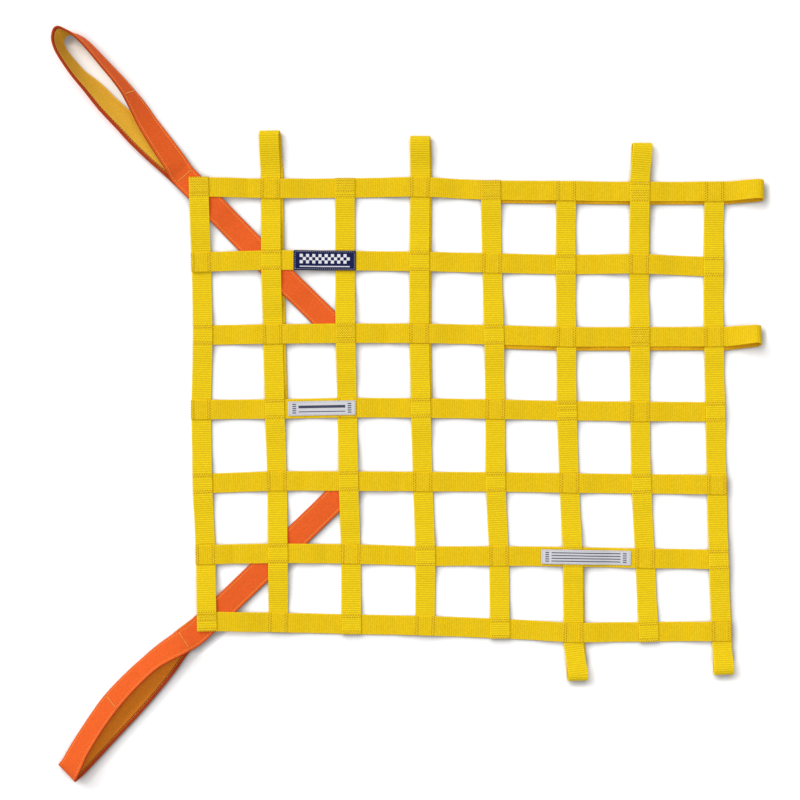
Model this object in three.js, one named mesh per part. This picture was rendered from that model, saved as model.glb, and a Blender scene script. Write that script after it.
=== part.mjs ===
// A racing window net laid flat on its back: upright and level straps woven over and under each
// other, seven of them turned back into fixing loops, and two covered release straps behind them.
// Lengths are in millimetres and angles in degrees. X runs right, Y up the net and Z off the floor.
import * as THREE from "three";

// Webbing of the net
const STRAP_WIDTH = 20;
const STRAP_THICK = 1.4;
const PITCH = 75;

// Webbing and cover of a release strap, sewn flat on each other
const RELEASE_WIDTH = 25;
const RELEASE_WEBBING_THICK = 1.2;
const RELEASE_COVER_THICK = 1.0;

// Labels sewn on level straps
const LABEL_THICK = 1.0;

// Air between two layers that lie on each other, and how a strap comes down past what it crosses
const GAP = 0.3;
const SIDE_MARGIN = 1.6;
const RAMP_BASE = 12;
const RAMP_PER_LIFT = 6;

// Even place of the first crossing, top left, seen from above
const FIRST_X = -211.0;
const FIRST_Y = 219.5;

// How far a strap runs on past its last crossing before its loop starts to open, and how far a
// turned-back leg runs on past the last crossing that it passes under
const LOOP_START = 13;
const LEG_TAIL = 6;

// Least height of a hand loop's lower edge
const LOOP_CLEAR = 0.15;

// Steps of the curves
const NOSE_STEPS = 6;
const RISE_STEPS = 5;
const SPLINE_STEPS = 2;
const RAMP_STEPS = 3;
const HEIGHT_SAMPLES = 8;
const HEADING_STEP = 0.5;
const LEAST_STEP = 0.6;

// Rounds in which every strap is laid on what it crosses until nothing moves
const SETTLE_ROUNDS = 8;

// Sideways drift of each upright strap off its even place, one row for each strap.
// Columns: at level 0, at level 1, and so on down to level 6.
const UPRIGHT_DRIFT = [
  [-2.5, -0.5, 1.1, -0.8, 0.6, 3.9, 5.7],
  [-4.8, -4.2, -2.6, -0.6, 1.7, 2.8, 2.9],
  [-4.1, -4.0, -3.7, -1.8, -0.5, 2.0, 2.4],
  [-2.6, -3.3, -3.5, -1.9, 0.2, 3.0, 2.5],
  [-5.6, -4.2, -2.3, -0.8, -0.8, 3.0, 3.7],
  [-3.8, -4.1, -3.6, -3.0, -0.4, 2.9, 3.8],
  [-4.1, -4.5, -3.9, -3.3, -2.3, 1.9, 5.1],
  [-2.9, -3.7, -3.3, -1.6, -0.4, 1.4, 4.4],
];

// Drift of each level strap up the net off its even place, one row for each strap.
// Columns: at upright 0, at upright 1, and so on to upright 7.
const LEVEL_DRIFT = [
  [2.6, 1.1, 1.9, 2.9, -0.5, -1.2, -2.1, -1.8],
  [1.3, 3.2, 2.8, 2.0, 0.3, -1.2, -0.4, -3.5],
  [1.9, 3.0, 3.8, 3.7, 2.2, 0.0, 0.1, 0.3],
  [1.0, 1.6, 3.0, 2.6, 1.4, -0.2, -0.9, -1.4],
  [0.5, 3.4, 3.2, 2.7, 2.2, 1.2, 0.2, -0.3],
  [3.4, 4.8, 4.0, 1.5, 1.9, 1.0, -0.6, -1.7],
  [10.9, 9.1, 7.1, 5.9, 2.7, -1.0, -0.6, 0.4],
];

// Fixing loops. end: the end of the strap that has it; reach: from the last crossing to the outer
// end; inside: clear height in the nose; lean: how far the upper leg tips its right edge up;
// drift: how far the end wanders to the left of the way out; last: the crossing under which the
// turned-back leg ends; offset: how far that leg lies to the left of the way out.
const LOOPS = named(
  ["strap", "end", "reach", "inside", "lean", "drift", "last", "offset"],
  [
    ["upright_strap_1", "top", 58.8, 8.0, 0, 1.2, 3, -3.0],
    ["upright_strap_3", "top", 51.6, 7.5, 0, 0.9, 3, -2.0],
    ["upright_strap_6", "top", 49.5, 8.0, 0, -2.3, 1, -1.2],
    ["upright_strap_5", "bottom", 48.8, 9.0, 0, 3.7, 5, 1.5],
    ["upright_strap_7", "bottom", 44.0, 9.0, 0, -0.2, 4, 0.8],
    ["level_strap_0", "right", 50.0, 9.0, 8, 2.0, 4, -3.0],
    ["level_strap_2", "right", 47.4, 10.0, 24, 2.6, 4, -4.0],
  ],
);

// Release straps. path: offsets of the middle line from the crossings that it passes behind, from
// its inner end to the corner. heading: way out of the hand loop. loop: the hand loop from its
// upper leg round the tip to its lower leg, with the distance along the heading, the distance to
// the left of it, the lean of the upper edge off the floor, the height of the lower edge, and how
// far the way from the lower edge to the upper one is turned from the left to the fore.
const RELEASE_STRAPS = [
  {
    side: "upper",
    heading: 132.2,
    path: named(["upright", "level", "dx", "dy"], [
      [2, 2, -6.0, 0.4],
      [1, 1, 0.0, -6.0],
      [0, 0, 0.0, -4.8],
    ]),
    loop: named(["along", "left", "lean", "low", "fore"], [
      [14, 4, 0, 2.8, 0],
      [23, 3.8, 2, 2.8, 0],
      [36, 1.4, 18, 2.8, 0],
      [60, -1.8, 31, 2.2, 0],
      [82, -4.8, 41, 0.8, 0],
      [98, -8, 49, 0, 0],
      [118, -11.3, 62, 0, 0],
      [134, -12.5, 67, 0, 0],
      [155, -12.8, 71, 0, 0],
      [176, -13, 75, 0, 0],
      [190, -12.2, 77, 0, 5],
      [200, -9.4, 79, 0, 30],
      [206.5, -5.2, 74, 0, 62],
      [209.5, -0.6, 69, 0, 90],
      [207.5, 4, 71, 0, 70],
      [203, 7.8, 72, 0, 38],
      [194, 11, 70, 0, 10],
      [180, 12.7, 65, 0, 0],
      [165, 13.6, 60, 0, 0],
      [150, 12.6, 49, 0, 0],
      [138, 12.3, 41, 0, 0],
      [122, 12.4, 35, 0, 0],
      [98, 10.9, 24, 0, 0],
      [82, 10.4, 17, 0, 0],
      [60, 8.6, 10, 0, 0],
      [35, 5.9, 4, 0, 0],
      [14, 4.2, 0, 0, 0],
    ]),
  },
  {
    side: "lower",
    heading: 227.6,
    path: named(["upright", "level", "dx", "dy"], [
      [2, 4, 2.0, -3.0],
      [1, 5, 0.6, -0.6],
      [0, 6, 0.7, -0.7],
    ]),
    loop: named(["along", "left", "lean", "low", "fore"], [
      [12, 0, 0, 2.8, 0],
      [22, -1.4, 1, 2.8, 0],
      [33, -4.6, 18, 2.8, 0],
      [51, -10, 35, 1.8, 0],
      [66, -13.3, 45, 0.4, 0],
      [88, -15.6, 45, 0, 0],
      [110, -16.4, 42, 0, 0],
      [130, -15.8, 39, 0, 0],
      [149, -13.6, 39, 0.5, 0],
      [167, -10.6, 38, 1.6, 0],
      [184, -7.2, 36, 3.4, 0],
      [196, -3.8, 30, 5.8, 0],
      [203, -2, 24, 6.4, 0],
      [207.5, -1.2, 18, 5, 0],
      [209, -0.8, 12, 3, 0],
      [207, -0.4, 7, 1.2, 0],
      [202, 0, 3, 0.3, 0],
      [193, 0.4, 0, 0, 0],
      [160, 0.6, 0, 0, 0],
      [105, 0.7, 0, 0, 0],
      [66, -1.2, 0, 0, 0],
      [48, -3.4, 0, 0, 0],
      [33, -4.4, 0, 0, 0],
      [12, -0.6, 0, 0, 0],
    ]),
  },
];

// How far inside the corner the lower leg of a hand loop ends, behind the crossing
const RELEASE_LEG_TAIL = 22;

// Labels. level: the strap that carries it; from, to: where it starts and ends along X;
// lifted: the upright that comes up under it.
const LABELS = named(
  ["name", "level", "from", "to", "width", "lifted", "colour"],
  [
    ["woven_label_dark", 1, -117.2, -54.0, 20.4, null, 0x1e2655],
    ["woven_label_pale_left", 3, -122.9, -54.2, 14.8, null, 0xd8d9e0],
    ["woven_label_pale_right", 5, 134.8, 226.1, 14.8, 5, 0xd8d9e0],
  ],
);

const UP = new THREE.Vector3(0, 0, 1);
const YELLOW = cloth(0xf0cd10);
const GOLD = cloth(0xd7961e);
const ORANGE = cloth(0xee622a);

// Gives each row of a table its column names
function named(columns, rows) {
  return rows.map((row) => Object.fromEntries(row.map((value, i) => [columns[i], value])));
}

// Matt woven material
function cloth(colour) {
  return new THREE.MeshStandardMaterial({ color: colour, roughness: 0.85, metalness: 0 });
}

// Where an upright strap and a level strap cross
function crossing(upright, level) {
  return new THREE.Vector2(
    FIRST_X + PITCH * upright + UPRIGHT_DRIFT[upright][level],
    FIRST_Y - PITCH * level + LEVEL_DRIFT[level][upright],
  );
}

// Falls softly from 1 to 0 as the way goes from 0 to 1
function fade(way) {
  return 0.5 + 0.5 * Math.cos(Math.PI * THREE.MathUtils.clamp(way, 0, 1));
}

// Length over which a strap comes down from the given height
function rampLength(lift) {
  return RAMP_BASE + RAMP_PER_LIFT * lift;
}

// A flat strap's way over the floor: its middle line seen from above, and the underside's height,
// which follows what the strap lies on
class Run {
  constructor(points, width, thick) {
    this.points = points;
    this.width = width;
    this.thick = thick;
    this.supports = [];
    this.bed = () => 0;
    this.bedMarks = () => [];
    this.marks = [0];
    for (let i = 1; i < points.length; i += 1) {
      this.marks.push(this.marks[i - 1] + points[i].distanceTo(points[i - 1]));
    }
    this.length = this.marks.at(-1);
  }

  // Point of the middle line at a distance from the start
  at(along) {
    let i = 1;
    while (i < this.points.length - 1 && this.marks[i] < along) i += 1;
    const part = (along - this.marks[i - 1]) / (this.marks[i] - this.marks[i - 1]);
    return this.points[i - 1].clone().lerp(this.points[i], part);
  }

  // Height of the underside: the highest of its supports, each fading out past its ends
  height(along) {
    let height = this.bed(along);
    for (const { middle, half, lift } of this.supports) {
      const past = Math.abs(along - middle) - half;
      height = Math.max(height, lift * fade(past / rampLength(lift)));
    }
    return height;
  }

  // Greatest height within a half length of a place
  highest(middle, half) {
    let height = 0;
    for (let i = -HEIGHT_SAMPLES; i <= HEIGHT_SAMPLES; i += 1) {
      const place = middle + (half * i) / HEIGHT_SAMPLES;
      const along = THREE.MathUtils.clamp(place, 0, this.length);
      height = Math.max(height, this.height(along));
    }
    return height;
  }

  // Distances at which the strap bends, either seen from above or in height
  bends() {
    const bends = [...this.marks, ...this.bedMarks()];
    for (const { middle, half, lift } of this.supports) {
      for (let step = 0; step <= RAMP_STEPS; step += 1) {
        const reach = half + (rampLength(lift) * step) / RAMP_STEPS;
        bends.push(middle - reach, middle + reach);
      }
    }
    const inside = bends.filter((along) => along >= 0 && along <= this.length);
    inside.sort((a, b) => a - b);
    return inside.filter((along, i) => i === 0 || along - inside[i - 1] > LEAST_STEP);
  }

  // Sections of the strap along the run, with its left edge to the left of the way it goes
  stations(onTop) {
    return this.bends().map((along) => {
      const point = this.at(along);
      const before = this.at(Math.max(along - HEADING_STEP, 0));
      const after = this.at(Math.min(along + HEADING_STEP, this.length));
      const heading = after.sub(before).normalize();
      const left = new THREE.Vector3(-heading.y, heading.x, 0).multiplyScalar(onTop ? 1 : -1);
      const middle = this.height(along) + this.thick / 2;
      return { at: new THREE.Vector3(point.x, point.y, middle), across: left };
    });
  }
}

// Where the middle lines of two runs cross, with the angle between them
function meet(first, second) {
  const stretched = (run) => {
    const points = run.points.map((point) => point.clone());
    const end = points.length - 1;
    const ahead = points[end].clone().sub(points[end - 1]).setLength(LOOP_START);
    const behind = points[0].clone().sub(points[1]).setLength(LOOP_START);
    points[end].add(ahead);
    points[0].add(behind);
    return points;
  };
  const a = stretched(first);
  const b = stretched(second);
  for (let i = 1; i < a.length; i += 1) {
    for (let j = 1; j < b.length; j += 1) {
      const u = a[i].clone().sub(a[i - 1]);
      const v = b[j].clone().sub(b[j - 1]);
      const w = b[j - 1].clone().sub(a[i - 1]);
      const area = u.cross(v);
      const partA = w.cross(v) / area;
      const partB = w.cross(u) / area;
      if (partA >= 0 && partA <= 1 && partB >= 0 && partB <= 1) {
        const shiftA = i === 1 ? LOOP_START : 0;
        const shiftB = j === 1 ? LOOP_START : 0;
        return {
          first: first.marks[i - 1] + partA * u.length() - shiftA,
          second: second.marks[j - 1] + partB * v.length() - shiftB,
          angle: Math.asin(Math.abs(area) / (u.length() * v.length())),
        };
      }
    }
  }
  throw new Error("two straps that should cross do not");
}

// Lays the upper run over the lower one where they cross
function cross(lower, upper) {
  const place = meet(lower, upper);
  const reach = (across, along) =>
    across.width / 2 / Math.sin(place.angle) + along.width / 2 / Math.tan(place.angle);
  const support = { middle: place.second, half: reach(lower, upper) + SIDE_MARGIN, lift: 0 };
  upper.supports.push(support);
  return () => {
    support.lift = lower.highest(place.first, reach(upper, lower)) + lower.thick + GAP;
  };
}

// Lays a run along the leg that turns back under it from its own end
function layOnLeg(run, leg) {
  run.bed = (along) => {
    const back = run.length - along;
    const lift = leg.height(Math.min(back, leg.length)) + leg.thick + GAP;
    return lift * fade((back - leg.length - SIDE_MARGIN) / rampLength(lift));
  };
  const end = run.length - leg.length - SIDE_MARGIN;
  const ramp = rampLength(leg.thick + GAP);
  const rampMarks = Array.from({ length: RAMP_STEPS + 1 }, (_, i) => end - (ramp * i) / RAMP_STEPS);
  run.bedMarks = () => [...rampMarks, ...leg.bends().map((along) => run.length - along)];
}

// Closed strap through sections, one layer of it between two distances off the middle plane
function ribbon(stations, width, inner, outer) {
  const vertices = [];
  stations.forEach(({ at, across }, i) => {
    const before = stations[Math.max(i - 1, 0)].at;
    const after = stations[Math.min(i + 1, stations.length - 1)].at;
    const tangent = after.clone().sub(before).normalize();
    const edge = across.clone().addScaledVector(tangent, -across.dot(tangent)).normalize();
    const out = tangent.clone().cross(edge);
    for (const [side, off] of [[-1, inner], [1, inner], [1, outer], [-1, outer]]) {
      const corner = at.clone().addScaledVector(edge, (side * width) / 2).addScaledVector(out, off);
      vertices.push(corner.x, corner.y, corner.z);
    }
  });
  const faces = [0, 2, 1, 0, 3, 2];
  const last = 4 * (stations.length - 1);
  // The long diagonals of both broad faces run the same way, so that layers stay apart in a twist
  for (let i = 0; i < last; i += 4) {
    faces.push(i, i + 1, i + 5, i, i + 5, i + 4);
    faces.push(i + 1, i + 2, i + 6, i + 1, i + 6, i + 5);
    faces.push(i + 2, i + 3, i + 6, i + 3, i + 7, i + 6);
    faces.push(i + 3, i, i + 4, i + 3, i + 4, i + 7);
  }
  faces.push(last, last + 1, last + 2, last, last + 2, last + 3);
  const geometry = new THREE.BufferGeometry();
  geometry.setAttribute("position", new THREE.Float32BufferAttribute(vertices, 3));
  geometry.setIndex(faces);
  geometry.computeVertexNormals();
  return geometry;
}

// Sections of a fixing loop, between the end of the strap and the start of its turned-back leg
function fixingLoop(loop, root, heading, startHeight) {
  const left = new THREE.Vector3(-heading.y, heading.x, 0);
  const radius = (loop.inside + STRAP_THICK) / 2;
  const noseAt = loop.reach - STRAP_THICK / 2 - radius;
  const section = (along, side, height, lean) => {
    const tip = THREE.MathUtils.degToRad(lean);
    const at = new THREE.Vector3(root.x + heading.x * along, root.y + heading.y * along, 0);
    at.addScaledVector(left, side);
    at.z = height + (STRAP_WIDTH / 2) * Math.sin(tip);
    const across = left.clone().multiplyScalar(Math.cos(tip)).addScaledVector(UP, -Math.sin(tip));
    return { at, across };
  };
  const stations = [];
  for (let i = 1; i < RISE_STEPS; i += 1) {
    const rise = 1 - fade(i / RISE_STEPS);
    const along = LOOP_START + ((noseAt - LOOP_START) * i) / RISE_STEPS;
    const height = THREE.MathUtils.lerp(startHeight, STRAP_THICK / 2 + 2 * radius, rise);
    stations.push(section(along, (loop.drift * along) / loop.reach, height, loop.lean * rise));
  }
  for (let i = 0; i <= NOSE_STEPS; i += 1) {
    const turn = (Math.PI * i) / NOSE_STEPS;
    const along = noseAt + radius * Math.sin(turn);
    const height = STRAP_THICK / 2 + radius * (1 + Math.cos(turn));
    const side = THREE.MathUtils.lerp(loop.drift, loop.drift * 0.5 + loop.offset * 0.5, i / NOSE_STEPS);
    stations.push(section(along, side, height, loop.lean * fade(i / NOSE_STEPS)));
  }
  return stations;
}

// Smooth values between the rows of a table, each row read by the given function
function smoothRows(rows, read) {
  const values = rows.map(read);
  const smooth = [];
  for (let i = 0; i < rows.length - 1; i += 1) {
    const [a, b] = [values[Math.max(i - 1, 0)], values[i]];
    const [c, d] = [values[i + 1], values[Math.min(i + 2, rows.length - 1)]];
    for (let k = 0; k < SPLINE_STEPS; k += 1) {
      const t = k / SPLINE_STEPS;
      const bend = (2 * a - 5 * b + 4 * c - d) * t * t + (3 * b - a - 3 * c + d) * t * t * t;
      smooth.push(b + 0.5 * ((c - a) * t + bend));
    }
  }
  smooth.push(values.at(-1));
  return smooth;
}

// Sections of a hand loop, from its upper leg round the tip to its lower leg
function handLoop(strap, thick) {
  const angle = THREE.MathUtils.degToRad(strap.heading);
  const out = new THREE.Vector3(Math.cos(angle), Math.sin(angle), 0);
  const left = new THREE.Vector3(-out.y, out.x, 0);
  const corner = strap.path.at(-1);
  const root = crossing(corner.upright, corner.level);
  const alongs = smoothRows(strap.loop, (row) => row.along);
  const lefts = smoothRows(strap.loop, (row) => row.left);
  const leans = smoothRows(strap.loop, (row) => row.lean);
  const lows = smoothRows(strap.loop, (row) => row.low);
  const fores = smoothRows(strap.loop, (row) => row.fore);
  return alongs.map((along, i) => {
    const lean = THREE.MathUtils.degToRad(leans[i]);
    const low = Math.max(lows[i], LOOP_CLEAR);
    const height = low + (RELEASE_WIDTH / 2) * Math.sin(lean) + (thick / 2) * Math.cos(lean);
    const at = new THREE.Vector3(root.x, root.y, height).addScaledVector(out, along);
    at.addScaledVector(left, lefts[i]);
    const fore = THREE.MathUtils.degToRad(fores[i]);
    const level = left.clone().multiplyScalar(Math.cos(fore)).addScaledVector(out, Math.sin(fore));
    const across = level.multiplyScalar(Math.cos(lean)).addScaledVector(UP, Math.sin(lean));
    return { at, across };
  });
}

// Straps of the net

const uprights = UPRIGHT_DRIFT.map((_, upright) => netStrap(`upright_strap_${upright}`, upright, null));
const levels = LEVEL_DRIFT.map((_, level) => netStrap(`level_strap_${level}`, null, level));

// One strap of the net: its run from its plain end to its other end, which may turn back
function netStrap(name, upright, level) {
  const standing = upright !== null;
  const count = standing ? LEVEL_DRIFT.length : UPRIGHT_DRIFT.length;
  const spots = Array.from({ length: count }, (_, i) => i);
  const loop = LOOPS.find((row) => row.strap === name);
  if (loop && loop.end === "top") spots.reverse();
  const points = spots.map((i) => (standing ? crossing(upright, i) : crossing(i, level)));
  const start = points[1].clone().sub(points[0]).setLength(STRAP_WIDTH / 2);
  const heading = points.at(-1).clone().sub(points.at(-2)).normalize();
  const endLength = loop ? LOOP_START : STRAP_WIDTH / 2;
  const first = points[0].clone().sub(start);
  const last = points.at(-1).clone().addScaledVector(heading, endLength);
  const run = new Run([first, ...points, last], STRAP_WIDTH, STRAP_THICK);
  const strap = { name, upright, level, loop, run, heading, root: points.at(-1) };
  if (loop) {
    const side = new THREE.Vector2(-heading.y, heading.x).multiplyScalar(loop.offset);
    const back = [last, ...points.slice(spots.indexOf(loop.last)).reverse()];
    const tail = back.at(-1).clone().sub(back.at(-2)).setLength(LEG_TAIL);
    back.push(back.at(-1).clone().add(tail));
    strap.leg = new Run(back.map((point) => point.clone().add(side)), STRAP_WIDTH, STRAP_THICK);
    strap.legSpots = spots.slice(spots.indexOf(loop.last));
  }
  return strap;
}

// Release straps, each a run behind the net with its hand loop and lower leg

const releaseThick = RELEASE_WEBBING_THICK + GAP + RELEASE_COVER_THICK;
const releases = RELEASE_STRAPS.map((strap) => {
  const points = strap.path.map(({ upright, level, dx, dy }) =>
    crossing(upright, level).add(new THREE.Vector2(dx, dy)));
  const loop = handLoop(strap, releaseThick);
  const mouth = new THREE.Vector2(loop[0].at.x, loop[0].at.y);
  const legMouth = new THREE.Vector2(loop.at(-1).at.x, loop.at(-1).at.y);
  const inward = points.at(-2).clone().sub(points.at(-1)).setLength(RELEASE_LEG_TAIL);
  const legEnd = points.at(-1).clone().add(inward);
  const run = new Run([...points, mouth], RELEASE_WIDTH, releaseThick);
  const leg = new Run([legMouth, points.at(-1), legEnd], RELEASE_WIDTH, releaseThick);
  return { ...strap, run, leg, loopSections: loop };
});

// Labels lie on their level strap

const labels = LABELS.map((label) => {
  const carrier = levels[label.level].run;
  const alongOf = (x) => x - carrier.points[0].x;
  const start = alongOf(label.from);
  const end = alongOf(label.to);
  const inner = carrier.marks.filter((mark) => mark > start + LEAST_STEP && mark < end - LEAST_STEP);
  const points = [start, ...inner, end].map((along) => carrier.at(along));
  const run = new Run(points, label.width, LABEL_THICK);
  run.bed = (along) => carrier.height(start + along) + carrier.thick + GAP;
  run.bedMarks = () => carrier.bends().map((along) => along - start);
  return { ...label, run };
});

// What lies on what. The legs that turn back are lowest, then the release straps, then the weave,
// in which upright and level straps take turns on top.

const contacts = [];
for (const upright of uprights) {
  for (const level of levels) {
    const uprightOnTop = (upright.upright + level.level) % 2 === 0;
    const [lower, upper] = uprightOnTop ? [level, upright] : [upright, level];
    contacts.push(cross(lower.run, upper.run));
  }
}
for (const strap of [...uprights, ...levels]) {
  if (strap.leg) {
    const others = strap.level === null ? levels : uprights;
    for (const spot of strap.legSpots) contacts.push(cross(strap.leg, others[spot].run));
    layOnLeg(strap.run, strap.leg);
  }
}
contacts.push(cross(levels[0].leg, uprights[6].leg));
contacts.push(cross(uprights[1].leg, releases[0].run));
for (const release of releases) {
  layOnLeg(release.run, release.leg);
  for (const { upright, level } of release.path) {
    contacts.push(cross(release.run, uprights[upright].run));
    contacts.push(cross(release.run, levels[level].run));
  }
}
for (const label of labels) {
  if (label.lifted !== null) contacts.push(cross(uprights[label.lifted].run, label.run));
}
for (let round = 0; round < SETTLE_ROUNDS; round += 1) {
  contacts.forEach((settle) => settle());
}

// The pieces as solids

const net = new THREE.Group();

function addPiece(name, geometry, material) {
  const mesh = new THREE.Mesh(geometry, material);
  mesh.name = name;
  net.add(mesh);
}

for (const strap of [...uprights, ...levels]) {
  const stations = strap.run.stations(true);
  if (strap.loop) {
    const startHeight = stations.at(-1).at.z;
    stations.push(...fixingLoop(strap.loop, strap.root, strap.heading, startHeight));
    stations.push(...strap.leg.stations(false));
  }
  addPiece(strap.name, ribbon(stations, STRAP_WIDTH, -STRAP_THICK / 2, STRAP_THICK / 2), YELLOW);
}

for (const release of releases) {
  const stations = release.run.stations(true).slice(0, -1);
  stations.push(...release.loopSections);
  stations.push(...release.leg.stations(false).slice(1));
  const half = releaseThick / 2;
  const webbing = ribbon(stations, RELEASE_WIDTH, -half, RELEASE_WEBBING_THICK - half);
  const cover = ribbon(stations, RELEASE_WIDTH, half - RELEASE_COVER_THICK, half);
  addPiece(`release_webbing_${release.side}`, webbing, GOLD);
  addPiece(`release_cover_${release.side}`, cover, ORANGE);
}

for (const label of labels) {
  const stations = label.run.stations(true);
  const sheet = ribbon(stations, label.width, -LABEL_THICK / 2, LABEL_THICK / 2);
  addPiece(label.name, sheet, cloth(label.colour));
}

export default net;
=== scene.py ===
"""Looks of a racing window net lying flat: ribbed webbing, its stitching, covered release straps and labels.

Shapes are worked out in millimetres in the row frame (X right, Y up the net, Z off the floor) and are
turned into metres when they become meshes.
"""

import math

import bpy
import numpy as np
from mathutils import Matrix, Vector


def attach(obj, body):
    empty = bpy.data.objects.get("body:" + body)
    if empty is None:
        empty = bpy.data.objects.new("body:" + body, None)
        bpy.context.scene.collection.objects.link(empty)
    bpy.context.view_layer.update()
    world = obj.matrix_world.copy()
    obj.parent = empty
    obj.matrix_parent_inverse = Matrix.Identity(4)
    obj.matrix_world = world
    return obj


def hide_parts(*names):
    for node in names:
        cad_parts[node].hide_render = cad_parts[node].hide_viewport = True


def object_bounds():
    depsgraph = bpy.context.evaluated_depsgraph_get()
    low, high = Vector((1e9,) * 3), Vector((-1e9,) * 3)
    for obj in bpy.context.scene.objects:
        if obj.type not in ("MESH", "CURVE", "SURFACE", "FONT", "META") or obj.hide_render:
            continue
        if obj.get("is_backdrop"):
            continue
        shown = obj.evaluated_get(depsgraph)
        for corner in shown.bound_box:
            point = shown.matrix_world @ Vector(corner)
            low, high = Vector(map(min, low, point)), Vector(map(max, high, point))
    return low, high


bl_info = {
    "name": "Racing window net",
    "version": (1, 0, 0),
    "blender": (4, 5, 0),
    "location": "3D View > Sidebar > Window net",
    "description": "Builds the looks of a window net of sewn webbing around its packed solids",
    "category": "Add Mesh",
}

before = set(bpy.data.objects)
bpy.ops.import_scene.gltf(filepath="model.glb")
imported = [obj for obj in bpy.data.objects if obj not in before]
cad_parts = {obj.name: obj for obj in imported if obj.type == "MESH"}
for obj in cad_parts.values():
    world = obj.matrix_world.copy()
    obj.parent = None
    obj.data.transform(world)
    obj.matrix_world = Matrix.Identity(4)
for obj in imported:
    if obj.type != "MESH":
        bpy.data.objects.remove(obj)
CAD_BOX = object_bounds()
MM = 0.001

# Webbing of the net
STRAP_WIDTH = 20.0
STRAP_THICK = 1.4
PITCH = 75.0

# Webbing and cover of a release strap, and the labels
RELEASE_WIDTH = 25.0
RELEASE_WEBBING_THICK = 1.2
RELEASE_COVER_THICK = 1.0
LABEL_THICK = 1.0

# Air between two layers that lie on each other, and how a strap comes down past what it crosses
GAP = 0.3
SIDE_MARGIN = 1.6
RAMP_BASE = 12.0
RAMP_PER_LIFT = 6.0

# A release strap's whole thickness, and the heights of its two layers' middles off its own middle
RELEASE_THICK = RELEASE_WEBBING_THICK + GAP + RELEASE_COVER_THICK
CORE_MIDDLE = -RELEASE_THICK / 2 + RELEASE_WEBBING_THICK / 2
COVER_MIDDLE = RELEASE_THICK / 2 - RELEASE_COVER_THICK / 2

# Even place of the first crossing, top left, seen from above
FIRST_X = -211.0
FIRST_Y = 219.5

# Loops: where a fixing loop starts past the last crossing, how far its leg runs on past its own last
# crossing, the least height of a hand loop's lower edge, how far its leg runs on past the corner, and
# the steps of a fixing loop's rise and of its nose
LOOP_START = 13.0
LEG_TAIL = 6.0
LOOP_CLEAR = 0.15
RELEASE_LEG_TAIL = 22.0
RISE_STEPS = 90
NOSE_STEPS = 60

# Crossing stitches. The usual two rows stand this far from a crossing's middle, and a row reaches this
# far to each side of the strap's middle. A thread is sunk a little into the cloth, and more where it
# faces the floor, and stands up in a low arch. A row presses the cloth in along its two lines.
ROW_PLACE = 8.3
SEAM_HALF = 8.8
THREAD_SUNK = 0.04
THREAD_SUNK_BELOW = 0.26
CROSSING_ARCH = 0.22
PRESS_DEPTH = 0.03
PRESS_SPREAD = 0.55

# Length of a straight stitch as a share of its pitch
STITCH_SHARE = 0.74

# Straight seam along an upright strap, from past its crossing with a level one, and a row of straight
# stitches across a level strap
EDGE_SEAM = {"upright": 7, "level": 4, "past": 13, "length": 126, "across": 6.4, "pitch": 2.9}
FOLD_SEAM = {"level": 2, "x": 295.4, "pitch": 2.2}

# Sewing of a release strap's cover: places across of the edge rows and of the row on the hem's inner
# side, how far those rows stay from the strap's ends, and the bars of stitches across it
COVER_ROW = 9.9
HEM_ROW = 9.3
COVER_ROW_END = 2.0
COVER_THREAD_SUNK = 0.2
COVER_STITCH_SHARE = 0.88
COVER_ARCH = 0.2
COVER_BAR = {"half": 9.4, "pitch": 2.0, "share": 0.94}
COVER_BAR_SUNK = 0.06
COVER_BAR_FATTER = 1.2
COVER_BAR_ARCH = 0.24
COVER_PRESS_DEPTH = 0.1
COVER_PRESS_WIDTH = 0.6

# Sewing of a label: how far its rows stay from its ends, their place across as a share of half its
# width, their height as a share of half its thickness, and their stitch
LABEL_END_ROW = 1.5
LABEL_EDGE_ROW_END = 1.0
LABEL_EDGE_SHARE = 0.86
LABEL_EDGE_HEIGHT = 0.86
LABEL_END_HEIGHT = 0.92
LABEL_STITCH = 2.1
LABEL_THREAD_SHARE = 0.7
LABEL_ARCH = 0.14

# A label's ends: how much narrower and lower they are, and over what length
LABEL_END_TUCK = {"share": 0.12, "length": 0.5, "power": 0.2}
LABEL_END_DROP = {"height": 0.7, "length": 1.6}

# Sections to each rib of the net's webbing, and steps along a release strap and along a label
RIB_STATIONS = 5
RELEASE_STEP = 0.9
LABEL_STEP = 0.5

# Unevenness of a strap's width as a share of it, and how much a rib widens it
EDGE_WANDER = 0.0035
RIB_WIDENING = 0.05

# How finely a strap's way is worked out, over what length to each side it bends at a crossing, and over
# what length to each side its sections are softened
FINE = 0.5
EASE = 10.0
EASE_SAMPLES = 9
SOFTENED = 1.2
SETTLE_ROUNDS = 8
HEIGHT_SAMPLES = 17
SPLINE_STEPS = 24

# A bend of the strap that carries a label is left out when it lies this near to the label's end
BEND_MARGIN = 0.6

# Stage. The floor reaches this far to each side and lies just below the net, in millimetres. Its soft
# painted shadow, darkened into its colour, lies away from a direction and reaches this far in metres; it
# is full where this share of the surroundings is open, and leaves this share of the floor's colour. The
# floor glows a little by itself.
# The lights' places and sizes and the middle of the view are in metres, the sensor's width in
# millimetres.
FLOOR_HALF = 6000.0
FLOOR_DROP = 0.25
SHADE_TOWARDS = (-0.62, 0.62, 0.48)
SHADE_REACH = 0.01
SHADE_FULL_AT = 0.45
SHADE_TONE = 0.2
FLOOR_GLOW = 0.12
MAIN_LIGHT = {"place": (-8.7, 8.7, 10.3), "size": 10.0}
CEILING_LIGHT = {"place": (0.35, -0.35, 2.9), "size": 3.0}
VIEW_MIDDLE = (-0.00905, 0.0053)
SENSOR_WIDTH = 36.0
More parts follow.
